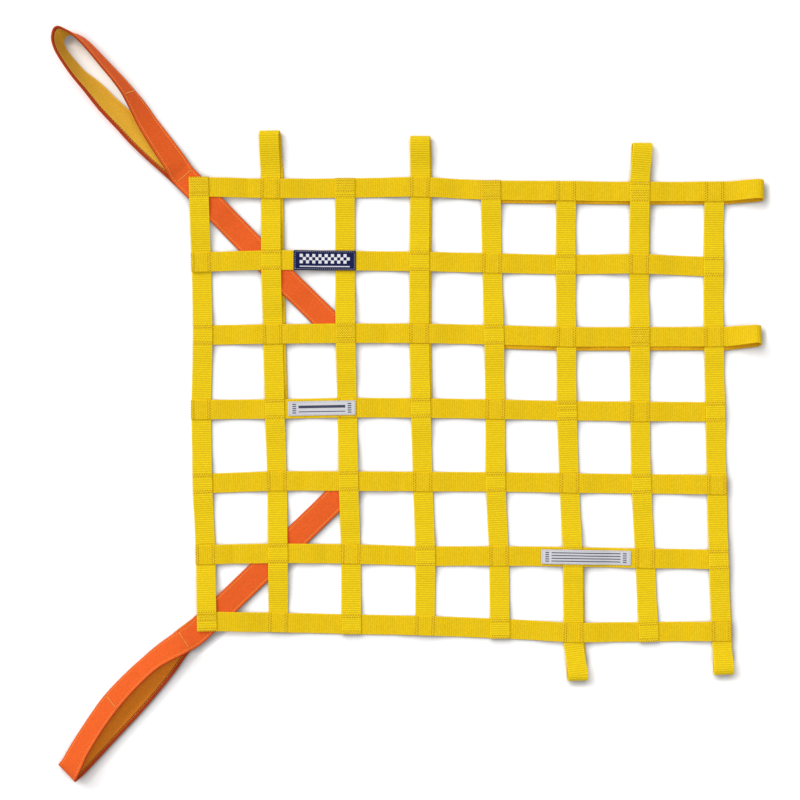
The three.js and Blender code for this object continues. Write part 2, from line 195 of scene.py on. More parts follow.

# Colours that no user needs to change: threads, marks on the dark label, and what is left of each
# part of a cloth's colour under the painted shade in the dents between stitches
COVER_THREAD_COLOUR = (1.0, 0.38, 0.09)
BAR_THREAD_COLOUR = (1.0, 0.55, 0.12)
LABEL_THREAD_COLOUR = (0.5, 0.5, 0.55)
DARK_LABEL_MARK = (0.75, 0.75, 0.8)
DENT_SHADE = (0.44, 0.3, 0.3)

# Uneven tone of used cloth: noise to the metre, and the tones of worn patches and flecks as parts of the
# cloth's own colour
PATCH_NOISE = {"scale": 14.0, "roughness": 0.55}
FLECK_NOISE = {"scale": 560.0, "roughness": 0.65}
WORN_TONE = 0.84
FLECK_TONE = 0.7

# Cloth of the net's webbing, of the release webbing and of the release cover, in metres. The painted
# shade of the valleys, the shares and the edges' painted light are parts of 1: a painted highlight on the
# webbings' selvedges, painted shade on the cover's rim. The level straps' ribs are flatter than the
# uprights', and their painted shade is weaker.
NET_CLOTH = {
    "half_width": STRAP_WIDTH / 2 * MM,
    "yarn_pitch": 0.0009,
    "depth": 0.00016,
    # Painted highlight on the selvedges
    "painted_edge_highlight_and_shade": 1.12,
    "edge_share": 0.4,
    "edge_band": 0.0012,
    "roughness": 0.75,
}
NET_SHADE = 0.34
LEVEL_FLATTER = 0.45
RELEASE_CLOTH = {
    "half_width": RELEASE_WIDTH / 2 * MM,
    "zigzag_pitch": 0.002,
    "zigzag_start": 0.0,
    "roughness": 0.8,
}
CORE_CLOTH = RELEASE_CLOTH | {
    "rib_pitch": 0.0012,
    "yarn_pitch": 0.0009,
    "depth": 0.00012,
    "shade": 0.2,
    # Painted highlight on the release webbing's selvedges
    "painted_edge_highlight_and_shade": 1.2,
    "edge_share": 0.5,
    "edge_band": 0.0024,
}
COVER_CLOTH = RELEASE_CLOTH | {
    "rib_pitch": 0.0006,
    "yarn_pitch": 0.0006,
    "depth": 0.00006,
    "shade": 0.1,
    # Painted shade on the cover's rim
    "painted_edge_highlight_and_shade": 0.42,
    "edge_share": 0.85,
    "edge_band": 0.0003,
}

# Sideways drift of each upright strap off its even place, one row for each strap.
# Columns: at level 0, at level 1, and so on down to level 6.
UPRIGHT_DRIFT = [
    [-2.5, -0.5, 1.1, -0.8, 0.6, 3.9, 5.7],
    [-4.8, -4.2, -2.6, -0.6, 1.7, 2.8, 2.9],
    [-4.1, -4.0, -3.7, -1.8, -0.5, 2.0, 2.4],
    [-2.6, -3.3, -3.5, -1.9, 0.2, 3.0, 2.5],
    [-5.6, -4.2, -2.3, -0.8, -0.8, 3.0, 3.7],
    [-3.8, -4.1, -3.6, -3.0, -0.4, 2.9, 3.8],
    [-4.1, -4.5, -3.9, -3.3, -2.3, 1.9, 5.1],
    [-2.9, -3.7, -3.3, -1.6, -0.4, 1.4, 4.4],
]

# Drift of each level strap up the net off its even place, one row for each strap.
# Columns: at upright 0, at upright 1, and so on to upright 7.
LEVEL_DRIFT = [
    [2.6, 1.1, 1.9, 2.9, -0.5, -1.2, -2.1, -1.8],
    [1.3, 3.2, 2.8, 2.0, 0.3, -1.2, -0.4, -3.5],
    [1.9, 3.0, 3.8, 3.7, 2.2, 0.0, 0.1, 0.3],
    [1.0, 1.6, 3.0, 2.6, 1.4, -0.2, -0.9, -1.4],
    [0.5, 3.4, 3.2, 2.7, 2.2, 1.2, 0.2, -0.3],
    [3.4, 4.8, 4.0, 1.5, 1.9, 1.0, -0.6, -1.7],
    [10.9, 9.1, 7.1, 5.9, 2.7, -1.0, -0.6, 0.4],
]


def named(columns, rows):
    """Gives each row of a table its column names."""
    return [dict(zip(columns, row)) for row in rows]


# Fixing loops. reach: from the last crossing to the outer end; inside: clear height in the nose;
# lean: how far the upper leg tips its right edge up; drift: how far the end wanders to the left;
# last: the crossing under which the turned-back leg ends; offset: how far that leg lies to the left.
LOOPS = named(
    ["strap", "end", "reach", "inside", "lean", "drift", "last", "offset"],
    [
        ["upright_strap_1", "top", 58.8, 8.0, 0, 1.2, 3, -3.0],
        ["upright_strap_3", "top", 51.6, 7.5, 0, 0.9, 3, -2.0],
        ["upright_strap_6", "top", 49.5, 8.0, 0, -2.3, 1, -1.2],
        ["upright_strap_5", "bottom", 48.8, 9.0, 0, 3.7, 5, 1.5],
        ["upright_strap_7", "bottom", 44.0, 9.0, 0, -0.2, 4, 0.8],
        ["level_strap_0", "right", 50.0, 9.0, 8, 2.0, 4, -3.0],
        ["level_strap_2", "right", 47.4, 10.0, 24, 2.6, 4, -4.0],
    ],
)

# Release straps. path: offsets of the middle line from the crossings that it passes behind, from
# its inner end to the corner. heading: way out of the hand loop. loop: the hand loop from its
# upper leg round the tip to its lower leg: distance along the heading and to the left of it, lean
# of the upper edge off the floor, height of the lower edge, and how far the way from the lower edge
# to the upper one is turned from the left to the fore. bars: rows of stitches across the cover, by
# their distance from the corner.
RELEASE_STRAPS = [
    {
        "side": "upper",
        "heading": 132.2,
        "path": named(
            ["upright", "level", "dx", "dy"],
            [[2, 2, -6.0, 0.4], [1, 1, 0.0, -6.0], [0, 0, 0.0, -4.8]],
        ),
        "bars": [22.0, 123.0],
        "loop": named(
            ["along", "left", "lean", "low", "fore"],
            [
                [14, 4, 0, 2.8, 0],
                [23, 3.8, 2, 2.8, 0],
                [36, 1.4, 18, 2.8, 0],
                [60, -1.8, 31, 2.2, 0],
                [82, -4.8, 41, 0.8, 0],
                [98, -8, 49, 0, 0],
                [118, -11.3, 62, 0, 0],
                [134, -12.5, 67, 0, 0],
                [155, -12.8, 71, 0, 0],
                [176, -13, 75, 0, 0],
                [190, -12.2, 77, 0, 5],
                [200, -9.4, 79, 0, 30],
                [206.5, -5.2, 74, 0, 62],
                [209.5, -0.6, 69, 0, 90],
                [207.5, 4, 71, 0, 70],
                [203, 7.8, 72, 0, 38],
                [194, 11, 70, 0, 10],
                [180, 12.7, 65, 0, 0],
                [165, 13.6, 60, 0, 0],
                [150, 12.6, 49, 0, 0],
                [138, 12.3, 41, 0, 0],
                [122, 12.4, 35, 0, 0],
                [98, 10.9, 24, 0, 0],
                [82, 10.4, 17, 0, 0],
                [60, 8.6, 10, 0, 0],
                [35, 5.9, 4, 0, 0],
                [14, 4.2, 0, 0, 0],
            ],
        ),
    },
    {
        "side": "lower",
        "heading": 227.6,
        "path": named(
            ["upright", "level", "dx", "dy"],
            [[2, 4, 2.0, -3.0], [1, 5, 0.6, -0.6], [0, 6, 0.7, -0.7]],
        ),
        "bars": [31.0, 128.0],
        "loop": named(
            ["along", "left", "lean", "low", "fore"],
            [
                [12, 0, 0, 2.8, 0],
                [22, -1.4, 1, 2.8, 0],
                [33, -4.6, 18, 2.8, 0],
                [51, -10, 35, 1.8, 0],
                [66, -13.3, 45, 0.4, 0],
                [88, -15.6, 45, 0, 0],
                [110, -16.4, 42, 0, 0],
                [130, -15.8, 39, 0, 0],
                [149, -13.6, 39, 0.5, 0],
                [167, -10.6, 38, 1.6, 0],
                [184, -7.2, 36, 3.4, 0],
                [196, -3.8, 30, 5.8, 0],
                [203, -2, 24, 6.4, 0],
                [207.5, -1.2, 18, 5, 0],
                [209, -0.8, 12, 3, 0],
                [207, -0.4, 7, 1.2, 0],
                [202, 0, 3, 0.3, 0],
                [193, 0.4, 0, 0, 0],
                [160, 0.6, 0, 0, 0],
                [105, 0.7, 0, 0, 0],
                [66, -1.2, 0, 0, 0],
                [48, -3.4, 0, 0, 0],
                [33, -4.4, 0, 0, 0],
                [12, -0.6, 0, 0, 0],
            ],
        ),
    },
]

# Labels. level: the strap that carries it; lifted: the upright that comes up under it.
LABELS = named(
    ["node", "level", "from", "to", "width", "lifted", "kind"],
    [
        ["woven_label_dark", 1, -117.2, -54.0, 20.4, None, "dark"],
        ["woven_label_pale_left", 3, -122.9, -54.2, 14.8, None, "pale_bold"],
        ["woven_label_pale_right", 5, 134.8, 226.1, 14.8, 5, "pale_fine"],
    ],
)

# Marks on the labels, in metres. A rule is given by its place across and half its width, and no mark
# comes nearer to a label's ends than the border. The dark label has chequers over one rule.
LABEL_BORDER = 0.0042
CHEQUER = 0.0032
DARK_RULE = (-0.0062, 0.0005)
# The pale labels have rules, which stop short of the ends, between two ladders of short bars
PALE_RULES = {
    "pale_bold": [(0.0016, 0.0014), (-0.0034, 0.00045)],
    "pale_fine": [(-0.0042, 0.0005), (-0.0014, 0.0005), (0.0014, 0.0005), (0.0042, 0.0005)],
}
PALE_RULE_END = 0.0105
# A ladder: its middle's distance from the label's end, half its length, its distance from the label's
# sides, and half the distance from one bar to the next
LADDER_END = 0.0062
LADDER_HALF = 0.0019
LADDER_SIDE = 0.0021
LADDER_STEP = 0.0011

# Crossings sewn with more rows than the usual two. Columns: upright, level, places of the rows
# between the usual ones.
DENSE_CROSSINGS = named(
    ["upright", "level", "rows"],
    [
        [0, 0, [-5.8, -3.2, -0.6, 2.0, 4.6]],
        [2, 0, [-5.6, -3.0, -0.4, 2.2]],
        [4, 0, [-5.6, -2.9, -0.2, 2.5, 5.2]],
        [6, 0, [-5.6, -3.0, -0.4]],
        [2, 2, [-4.2, -1.6, 1.0, 3.6]],
        [6, 2, [-4.4, -1.7, 1.0, 3.7]],
        [5, 3, [-2.0]],
        [0, 6, [-4.8, -2.2]],
    ],
)

# Cross-sections, walked from the right edge over the outer face to the left edge and back over the
# inner face. Columns: place across, counted to the left, height as a share of half the thickness, and
# share of the ribs.
NET_PROFILE = named(
    ["across", "height", "rib"],
    [
        [-10.0, 0.0, 0.5],
        [-9.86, 0.62, 0.9],
        [-9.3, 0.9, 1],
        [-8.7, 0.82, 1],
        [-7.9, 0.84, 1],
        [7.9, 0.84, 1],
        [8.7, 0.82, 1],
        [9.3, 0.9, 1],
        [9.86, 0.62, 0.9],
        [10.0, 0.0, 0.5],
        [9.8, -0.66, 0.9],
        [8.8, -0.86, 1],
        [-8.8, -0.86, 1],
        [-9.8, -0.66, 0.9],
    ],
)
# The release strap's webbing stops short of the cover's left edge, where the cover is folded back
# beside it as a thick hem
CORE_PROFILE = named(
    ["across", "height", "rib"],
    [
        [-12.3, 0.0, 0],
        [-12.1, 0.7, 0],
        [-11.6, 1.0, 0.4],
        [-10.8, 0.9, 1],
        [7.0, 0.9, 1],
        [7.8, 1.0, 0.4],
        [8.3, 0.7, 0],
        [8.5, 0.0, 0],
        [8.3, -0.7, 0],
        [7.8, -1.0, 0.4],
        [7.0, -0.9, 1],
        [-10.8, -0.9, 1],
        [-11.6, -1.0, 0.4],
        [-12.1, -0.7, 0],
    ],
)
COVER_PROFILE = named(
    ["across", "height", "rib"],
    [
        [-12.6, -0.3, 0],
        [-12.4, 0.5, 0],
        [-12.0, 0.85, 0],
        [-11.2, 1.0, 0.4],
        [-10.4, 0.8, 1],
        [-9.9, 0.4, 1],
        [-9.4, 0.7, 1],
        [-8.6, 0.84, 0.5],
        [-6.0, 0.88, 0],
        [6.0, 0.88, 0],
        [8.6, 0.84, 0.5],
        [9.4, 0.7, 1],
        [9.9, 0.4, 1],
        [10.4, 0.8, 1],
        [11.2, 1.0, 0.4],
        [12.1, 0.7, 0],
        [12.75, -0.8, 0],
        [12.7, -2.4, 0],
        [12.0, -3.7, 0],
        [10.6, -3.95, 0],
        [9.4, -3.6, 0],
        [9.0, -2.6, 0],
        [8.9, -0.9, 0],
        [-12.3, -0.9, 0],
    ],
)
# The label's places across are shares of half its width
LABEL_PROFILE = named(
    ["across", "height", "rib"],
    [
        [-1.0, 0.0, 0],
        [-0.985, 0.6, 0],
        [-0.93, 0.95, 0],
        [-0.86, 0.72, 0],
        [-0.8, 0.86, 0],
        [0.8, 0.86, 0],
        [0.86, 0.72, 0],
        [0.93, 0.95, 0],
        [0.985, 0.6, 0],
        [1.0, 0.0, 0],
        [0.96, -0.9, 0],
        [-0.96, -0.9, 0],
    ],
)


# Sizes and colours that a user may change


class NetSizes(bpy.types.PropertyGroup):
    """Sizes of the ribs, the thread and the stitches."""

    rib_pitch: bpy.props.FloatProperty(
        name="Rib pitch",
        description="Distance between two ribs of the net's webbing",
        default=0.00225,
        min=0.0008,
        unit="LENGTH",
    )
    rib_height: bpy.props.FloatProperty(
        name="Rib height",
        description="How far a rib stands out from the middle of the surface",
        default=0.00016,
        min=0.0,
        unit="LENGTH",
    )
    thread_radius: bpy.props.FloatProperty(
        name="Thread radius",
        description="Half the thickness of the sewing thread",
        default=0.0003,
        min=0.00005,
        unit="LENGTH",
    )
    zigzag_pitch: bpy.props.FloatProperty(
        name="Zigzag pitch",
        description="Distance from one zigzag stitch to the next",
        default=0.00125,
        min=0.0005,
        unit="LENGTH",
    )
    zigzag_width: bpy.props.FloatProperty(
        name="Zigzag width",
        description="How wide a row of zigzag stitches is",
        default=0.0022,
        min=0.0005,
        unit="LENGTH",
    )
    stitch_pitch: bpy.props.FloatProperty(
        name="Stitch pitch",
        description="Distance from one straight stitch to the next",
        default=0.0031,
        min=0.001,
        unit="LENGTH",
    )


class NetColours(bpy.types.PropertyGroup):
    """Colours of the cloths and threads, as linear values."""

    upright: bpy.props.FloatVectorProperty(
        name="Upright webbing",
        description="Colour of the upright straps",
        subtype="COLOR",
        default=(0.972, 0.668, 0.009),
        min=0,
        max=1,
    )
    # Painted shade: the level colour is a darker copy of the upright colour, for level straps whose ribs
    # catch less light.
    level: bpy.props.FloatVectorProperty(
        name="Level webbing",
        description="Colour of the level straps",
        subtype="COLOR",
        default=(0.865, 0.578, 0.007),
        min=0,
        max=1,
    )
    # Painted shade: the inner colours are darker, more orange copies of the webbing colours, for the shade
    # under the strap above on a turned-back leg and inside a fixing loop.
    upright_inner_shade: bpy.props.FloatVectorProperty(
        name="Upright webbing's inner side",
        description="Colour seen on a turned-back upright strap",
        subtype="COLOR",
        default=(0.76, 0.49, 0.008),
        min=0,
        max=1,
    )
    level_inner_shade: bpy.props.FloatVectorProperty(
        name="Level webbing's inner side",
        description="Colour seen on a turned-back level strap",
        subtype="COLOR",
        default=(0.72, 0.38, 0.007),
        min=0,
        max=1,
    )
    thread: bpy.props.FloatVectorProperty(
        name="Net thread",
        description="Colour of the thread that sews the crossings",
        subtype="COLOR",
        default=(1.0, 0.7, 0.024),
        min=0,
        max=1,
    )
    core_upper: bpy.props.FloatVectorProperty(
        name="Upper release webbing",
        description="Colour of the inside of the upper hand loop",
        subtype="COLOR",
        default=(0.88, 0.50, 0.045),
        min=0,
        max=1,
    )
    # Painted shade and painted bounce light: the lower loop's webbing is a darker, redder copy of the upper
    # loop's, for the shade under its upper leg and orange light from its cover.
    core_lower_shaded: bpy.props.FloatVectorProperty(
        name="Lower release webbing",
        description="Colour of the inside of the lower hand loop",
        subtype="COLOR",
        default=(0.81, 0.25, 0.018),
        min=0,
        max=1,
    )
    cover: bpy.props.FloatVectorProperty(
        name="Release cover",
        description="Colour of the cover of a release strap",
        subtype="COLOR",
        default=(0.86, 0.127, 0.020),
        min=0,
        max=1,
    )
    # Painted shade: the hem is a dark copy of the cover colour, for the shade on the inside of a hand loop.
    hem: bpy.props.FloatVectorProperty(
        name="Hem",
        description="Colour of the cover's folded hem on the inside of a hand loop",
        subtype="COLOR",
        default=(0.42, 0.05, 0.008),
        min=0,
        max=1,
    )
    dark_label: bpy.props.FloatVectorProperty(
        name="Dark label",
        description="Ground colour of the dark label",
        subtype="COLOR",
        default=(0.004, 0.009, 0.072),
        min=0,
        max=1,
    )
    pale_label: bpy.props.FloatVectorProperty(
        name="Pale label",
        description="Ground colour of the pale labels",
        subtype="COLOR",
        default=(0.66, 0.66, 0.71),
        min=0,
        max=1,
    )
    pale_mark: bpy.props.FloatVectorProperty(
        name="Marks on pale labels",
        description="Colour of the bars and rules on the pale labels",
        subtype="COLOR",
        default=(0.055, 0.06, 0.10),
        min=0,
        max=1,
    )


class StageSettings(bpy.types.PropertyGroup):
    """Floor, light and camera."""

    floor: bpy.props.FloatVectorProperty(
        name="Floor",
        description="Colour of the floor",
        subtype="COLOR",
        default=(0.95, 0.952, 0.956),
        min=0,
        max=1,
    )
    sky: bpy.props.FloatProperty(
        name="Even light",
        description="Strength of the light from all round",
        default=0.26,
        min=0,
    )
    ceiling: bpy.props.FloatProperty(
        name="Ceiling light",
        description="Power of the wide light straight above",
        default=50.0,
        min=0,
        unit="POWER",
    )
    key: bpy.props.FloatProperty(
        name="Main light",
        description="Power of the soft light from the upper left",
        default=1800.0,
        min=0,
        unit="POWER",
    )
    lens: bpy.props.FloatProperty(
        name="Lens",
        description="Focal length of the camera in millimetres",
        default=85.0,
        min=10,
        unit="CAMERA",
    )
    view_width: bpy.props.FloatProperty(
        name="View width",
        description="Width of what the camera sees on the floor",
        default=0.816,
        min=0.1,
        unit="LENGTH",
    )


# Ways of the straps


def unit(vectors):
    """Vectors of length one in the same directions."""
    return vectors / np.linalg.norm(vectors, axis=-1, keepdims=True)


def fade(way):
    """Falls softly from 1 to 0 as the way goes from 0 to 1: half of one plus the cosine."""
    return 0.5 + 0.5 * np.cos(np.pi * np.clip(way, 0, 1))


def crossing(upright, level):
    """Where an upright and a level strap cross: the even place plus both drifts."""
    return np.array(
        [
            FIRST_X + PITCH * upright + UPRIGHT_DRIFT[upright][level],
            FIRST_Y - PITCH * level + LEVEL_DRIFT[level][upright],
        ]
    )


def ramp_length(lift):
    """Length over which a strap comes down from a height."""
    return RAMP_BASE + RAMP_PER_LIFT * lift


class Run:
    """A flat strap's way over the floor: its middle line seen from above and its underside's height."""

    def __init__(self, points, width, thick):
        self.points = np.asarray(points, float)
        steps = np.linalg.norm(np.diff(self.points, axis=0), axis=1)
        self.marks = np.concatenate([[0.0], np.cumsum(steps)])
        self.length = self.marks[-1]
        self.width = width
        self.thick = thick
        self.supports = []
        self.bed = np.zeros_like
        before = self.points[0] - EASE * unit(self.points[1] - self.points[0])
        after = self.points[-1] + EASE * unit(self.points[-1] - self.points[-2])
        self.line = np.vstack([before, self.points, after])
        self.line_marks = np.concatenate([[-EASE], self.marks, [self.length + EASE]])

    def at(self, along):
        """Middle line: the straight ways between crossings, averaged over a short window."""
        places = np.asarray(along)[..., None] + np.linspace(-EASE, EASE, EASE_SAMPLES)
        parts = [np.interp(places, self.line_marks, self.line[:, k]).mean(-1) for k in (0, 1)]
        return np.stack(parts, -1)

    def height(self, along):
        """Underside: the highest of the supports, each fading out past its ends."""
        height = self.bed(along)
        for middle, half, lift in self.supports:
            past = np.abs(along - middle) - half
            height = np.maximum(height, lift * fade(past / ramp_length(lift)))
        return height

    def sections(self, outward=1):
        """Middle points, left edge directions and distances, every half millimetre."""
        along = np.linspace(0, self.length, int(self.length / FINE) + 1)
        flat = self.at(along)
        heading = unit(np.gradient(flat, axis=0))
        left = np.column_stack([-heading[:, 1], heading[:, 0], np.zeros(len(along))]) * outward
        return np.column_stack([flat, self.height(along) + self.thick / 2]), left, along


def stretched(run):
    """The run's points with both ends moved outwards by a loop's start."""
    points = run.points.copy()
    points[0] -= LOOP_START * unit(run.points[1] - run.points[0])
    points[-1] += LOOP_START * unit(run.points[-1] - run.points[-2])
    return points


def meet(first, second):
    """Distances along two runs to where their middle lines cross, and the angle between them."""
    a, b = stretched(first), stretched(second)
    for i in range(1, len(a)):
        for j in range(1, len(b)):
            u, v, w = a[i] - a[i - 1], b[j] - b[j - 1], b[j - 1] - a[i - 1]
            area = u[0] * v[1] - u[1] * v[0]
            part_a = (w[0] * v[1] - w[1] * v[0]) / area
            part_b = (w[0] * u[1] - w[1] * u[0]) / area
            if 0 <= part_a <= 1 and 0 <= part_b <= 1:
                sizes = np.linalg.norm(u), np.linalg.norm(v)
                along_a = first.marks[i - 1] + part_a * sizes[0] - (LOOP_START if i == 1 else 0)
                along_b = second.marks[j - 1] + part_b * sizes[1] - (LOOP_START if j == 1 else 0)
                return along_a, along_b, math.asin(min(1.0, abs(area) / (sizes[0] * sizes[1])))
    raise RuntimeError("two straps that should cross do not")


def cross(lower, upper):
    """Lays the upper run over the lower one where they cross, and returns what settles its height."""
    place_low, place_up, angle = meet(lower, upper)

    def reach(across, along):
        return across.width / 2 / math.sin(angle) + along.width / 2 / math.tan(angle)

    support = [place_up, reach(lower, upper) + SIDE_MARGIN, 0.0]
    upper.supports.append(support)
    span = place_low + reach(upper, lower) * np.linspace(-1, 1, HEIGHT_SAMPLES)
    span = np.clip(span, 0, lower.length)

    def settle():
        support[2] = float(lower.height(span).max()) + lower.thick + GAP

    return settle


def lay_on_leg(run, leg):
    """Lays a run along the leg that turns back under it from its own end."""

    def bed(along):
        back = run.length - along
        lift = leg.height(np.minimum(back, leg.length)) + leg.thick + GAP
        return lift * fade((back - leg.length - SIDE_MARGIN) / ramp_length(lift))

    run.bed = bed


def net_strap(node, upright, level):
    """One strap of the net: its run, and its turned-back leg if it has a loop."""
    standing = upright is not None
    spots = list(range(len(LEVEL_DRIFT) if standing else len(UPRIGHT_DRIFT)))
    loop = next((row for row in LOOPS if row["strap"] == node), None)
    if loop and loop["end"] == "top":
        spots.reverse()
    points = np.array([crossing(upright, i) if standing else crossing(i, level) for i in spots])
    first = points[0] - unit(points[1] - points[0]) * STRAP_WIDTH / 2
    heading = unit(points[-1] - points[-2])
    last = points[-1] + heading * (LOOP_START if loop else STRAP_WIDTH / 2)
    strap = {"node": node, "upright": upright, "level": level, "loop": loop, "leg": None}
    strap["run"] = Run(np.vstack([first, points, last]), STRAP_WIDTH, STRAP_THICK)
    strap["root"], strap["heading"] = points[-1], heading
    if loop:
        turned = spots.index(loop["last"])
        back = np.vstack([last, points[turned:][::-1]])
        back = np.vstack([back, back[-1] + LEG_TAIL * unit(back[-1] - back[-2])])
        left = np.array([-heading[1], heading[0]])
        strap["leg"] = Run(back + left * loop["offset"], STRAP_WIDTH, STRAP_THICK)
        strap["leg_spots"] = spots[turned:]
    return strap


def lies_over(strap, other):
    """Whether a net strap lies over one that it crosses: they take turns, upright 0 over level 0 first."""
    upright, level = (strap, other) if strap["level"] is None else (other, strap)
    on_top = (upright["upright"] + level["level"]) % 2 == 0
    return on_top == (strap is upright)


def fixing_loop(strap):
    """Fixing loop from the end of the run to the start of the leg.

    The strap rises softly to the nose, goes round half a circle, and comes down flat on the floor."""
    loop, root, heading = strap["loop"], strap["root"], strap["heading"]
    start_height = float(strap["run"].height(np.array([strap["run"].length]))[0]) + STRAP_THICK / 2
    radius = (loop["inside"] + STRAP_THICK) / 2
    nose_at = loop["reach"] - STRAP_THICK / 2 - radius
    way = np.linspace(0, 1, RISE_STEPS)[1:]
    rise = 1 - fade(way)
    along_rise = LOOP_START + (nose_at - LOOP_START) * way
    height_rise = start_height + (STRAP_THICK / 2 + 2 * radius - start_height) * rise
    side_rise = loop["drift"] * way
    turn = np.linspace(0, np.pi, NOSE_STEPS)
    along_nose = nose_at + radius * np.sin(turn)
    height_nose = STRAP_THICK / 2 + radius * (1 + np.cos(turn))
    side_nose = loop["drift"] + (loop["offset"] - loop["drift"]) * 0.5 * turn / np.pi
    along = np.concatenate([along_rise, along_nose])
    side = np.concatenate([side_rise, side_nose])
    height = np.concatenate([height_rise, height_nose])
    lean = np.radians(loop["lean"] * np.concatenate([rise, fade(turn / np.pi)]))
    left = np.array([-heading[1], heading[0]])
    flat = root + heading * along[:, None] + left * side[:, None]
    at = np.column_stack([flat, height + STRAP_WIDTH / 2 * np.sin(lean)])
    across = np.column_stack([left * np.cos(lean)[:, None], -np.sin(lean)])
    return at, across


def smooth_rows(rows, column):
    """Smooth curve through one column of a table: a Catmull-Rom spline."""
    values = np.array([row[column] for row in rows], float)
    padded = np.concatenate([values[:1], values, values[-1:]])
    t = np.arange(SPLINE_STEPS) / SPLINE_STEPS
    a, b, c, d = (padded[k : len(values) - 1 + k, None] for k in range(4))
    bend = (2 * a - 5 * b + 4 * c - d) * t**2 + (3 * b - a - 3 * c + d) * t**3
    curve = b + 0.5 * ((c - a) * t + bend)
    return np.append(curve.ravel(), values[-1])


def hand_loop(release, thick):
    """Hand loop from its upper leg round the tip to its lower leg.

    Its middle is the corner, plus the heading times the way along, plus the left times the way aside,
    plus the height; its left edge direction leans off the floor and turns fore."""
    angle = math.radians(release["heading"])
    out = np.array([math.cos(angle), math.sin(angle), 0.0])
    left = np.array([-out[1], out[0], 0.0])
    corner = release["path"][-1]
    root = np.append(crossing(corner["upright"], corner["level"]), 0.0)
    rows = release["loop"]
    lean = np.radians(smooth_rows(rows, "lean"))[:, None]
    low = np.maximum(smooth_rows(rows, "low"), LOOP_CLEAR)[:, None]
    height = low + RELEASE_WIDTH / 2 * np.sin(lean) + thick / 2 * np.cos(lean)
    up = np.array([0.0, 0.0, 1.0])
    along = smooth_rows(rows, "along")[:, None]
    aside = smooth_rows(rows, "left")[:, None]
    at = root + out * along + left * aside + up * height
    fore = np.radians(smooth_rows(rows, "fore"))[:, None]
    level = left * np.cos(fore) + out * np.sin(fore)
    return at, level * np.cos(lean) + up * np.sin(lean)


def lay_out():
    """Every strap, release strap and label, each laid on what it crosses."""
    uprights = [net_strap(f"upright_strap_{i}", i, None) for i in range(len(UPRIGHT_DRIFT))]
    levels = [net_strap(f"level_strap_{i}", None, i) for i in range(len(LEVEL_DRIFT))]
    releases = []
    for row in RELEASE_STRAPS:
        points = np.array([crossing(p["upright"], p["level"]) + [p["dx"], p["dy"]] for p in row["path"]])
        at, across = hand_loop(row, RELEASE_THICK)
        inward = RELEASE_LEG_TAIL * unit(points[-2] - points[-1])
        run = Run(np.vstack([points, at[0, :2]]), RELEASE_WIDTH, RELEASE_THICK)
        leg = Run(np.vstack([at[-1, :2], points[-1], points[-1] + inward]), RELEASE_WIDTH, RELEASE_THICK)
        releases.append({**row, "run": run, "leg": leg, "loop_sections": (at, across)})
    labels = []
    for row in LABELS:
        carrier = levels[row["level"]]["run"]
        start, end = row["from"] - carrier.points[0, 0], row["to"] - carrier.points[0, 0]
        between = (carrier.marks > start + BEND_MARGIN) & (carrier.marks < end - BEND_MARGIN)
        places = np.concatenate([[start], carrier.marks[between], [end]])
        run = Run(carrier.at(places), row["width"], LABEL_THICK)
        run.bed = lambda along, c=carrier, s=start: c.height(s + along) + c.thick + GAP
        labels.append({**row, "run": run})

    contacts = []
    for upright in uprights:
        for level in levels:
            pair = [upright["run"], level["run"]]
            if lies_over(upright, level):
                pair.reverse()
            contacts.append(cross(*pair))
    for strap in uprights + levels:
        if strap["leg"]:
            others = levels if strap["level"] is None else uprights
            contacts += [cross(strap["leg"], others[spot]["run"]) for spot in strap["leg_spots"]]
            lay_on_leg(strap["run"], strap["leg"])
    # Leg on leg at the top right, and the upper release strap on a leg
    contacts.append(cross(levels[0]["leg"], uprights[6]["leg"]))
    contacts.append(cross(uprights[1]["leg"], releases[0]["run"]))
    for release in releases:
        lay_on_leg(release["run"], release["leg"])
        for p in release["path"]:
            contacts.append(cross(release["run"], uprights[p["upright"]]["run"]))
            contacts.append(cross(release["run"], levels[p["level"]]["run"]))
    for label in labels:
        if label["lifted"] is not None:
            contacts.append(cross(uprights[label["lifted"]]["run"], label["run"]))
    for _ in range(SETTLE_ROUNDS):
        for settle in contacts:
            settle()
    return uprights, levels, releases, labels


# Surfaces


class Path:
    """Sections of a strap at even steps along it, from parts that follow each other.

    Each part has middle points, left edge directions and distances along its own run, or None."""

    def __init__(self, parts, step):
        at = np.vstack([part[0] for part in parts])
        across = np.vstack([part[1] for part in parts])
        steps = np.linalg.norm(np.diff(at, axis=0), axis=1)
        length = np.concatenate([[0.0], np.cumsum(steps)])
        count = int(round(length[-1] / step)) + 1
        self.s = np.linspace(0, length[-1], count)
        window = max(1, int(round(SOFTENED / step)))
        self.at = soften(sampled(self.s, length, at), window)
        self.tangent = unit(np.gradient(self.at, axis=0))
        edge = soften(sampled(self.s, length, across), window)
        edge -= self.tangent * (edge * self.tangent).sum(-1, keepdims=True)
        self.across = unit(edge)
        self.out = np.cross(self.tangent, self.across)
        self.length = length[-1]
        self.marks = []
        start = 0
        for part in parts:
            end = start + len(part[0])
            if part[2] is not None:
                self.marks.append((part[2], length[start:end]))
            start = end

    def distance(self, part, along):
        """Distance along the strap of a place on its run (part 0) or on its leg (part 1)."""
        alongs, lengths = self.marks[part]
        return np.interp(along, alongs, lengths)

    def place(self, s, across, out):
        """Points at a distance, a place across, and a height off the middle plane."""
        parts = [sampled(s, self.s, values) for values in (self.at, self.across, self.out)]
        return parts[0] + parts[1] * np.asarray(across)[..., None] + parts[2] * np.asarray(out)[..., None]

    def normal(self, s):
        """Direction out of the outer face at a distance."""
        return unit(sampled(s, self.s, self.out))


def sampled(places, marks, values):
    """Values at places between the marks, each column on its own."""
    return np.stack([np.interp(places, marks, values[:, k]) for k in range(values.shape[1])], -1)


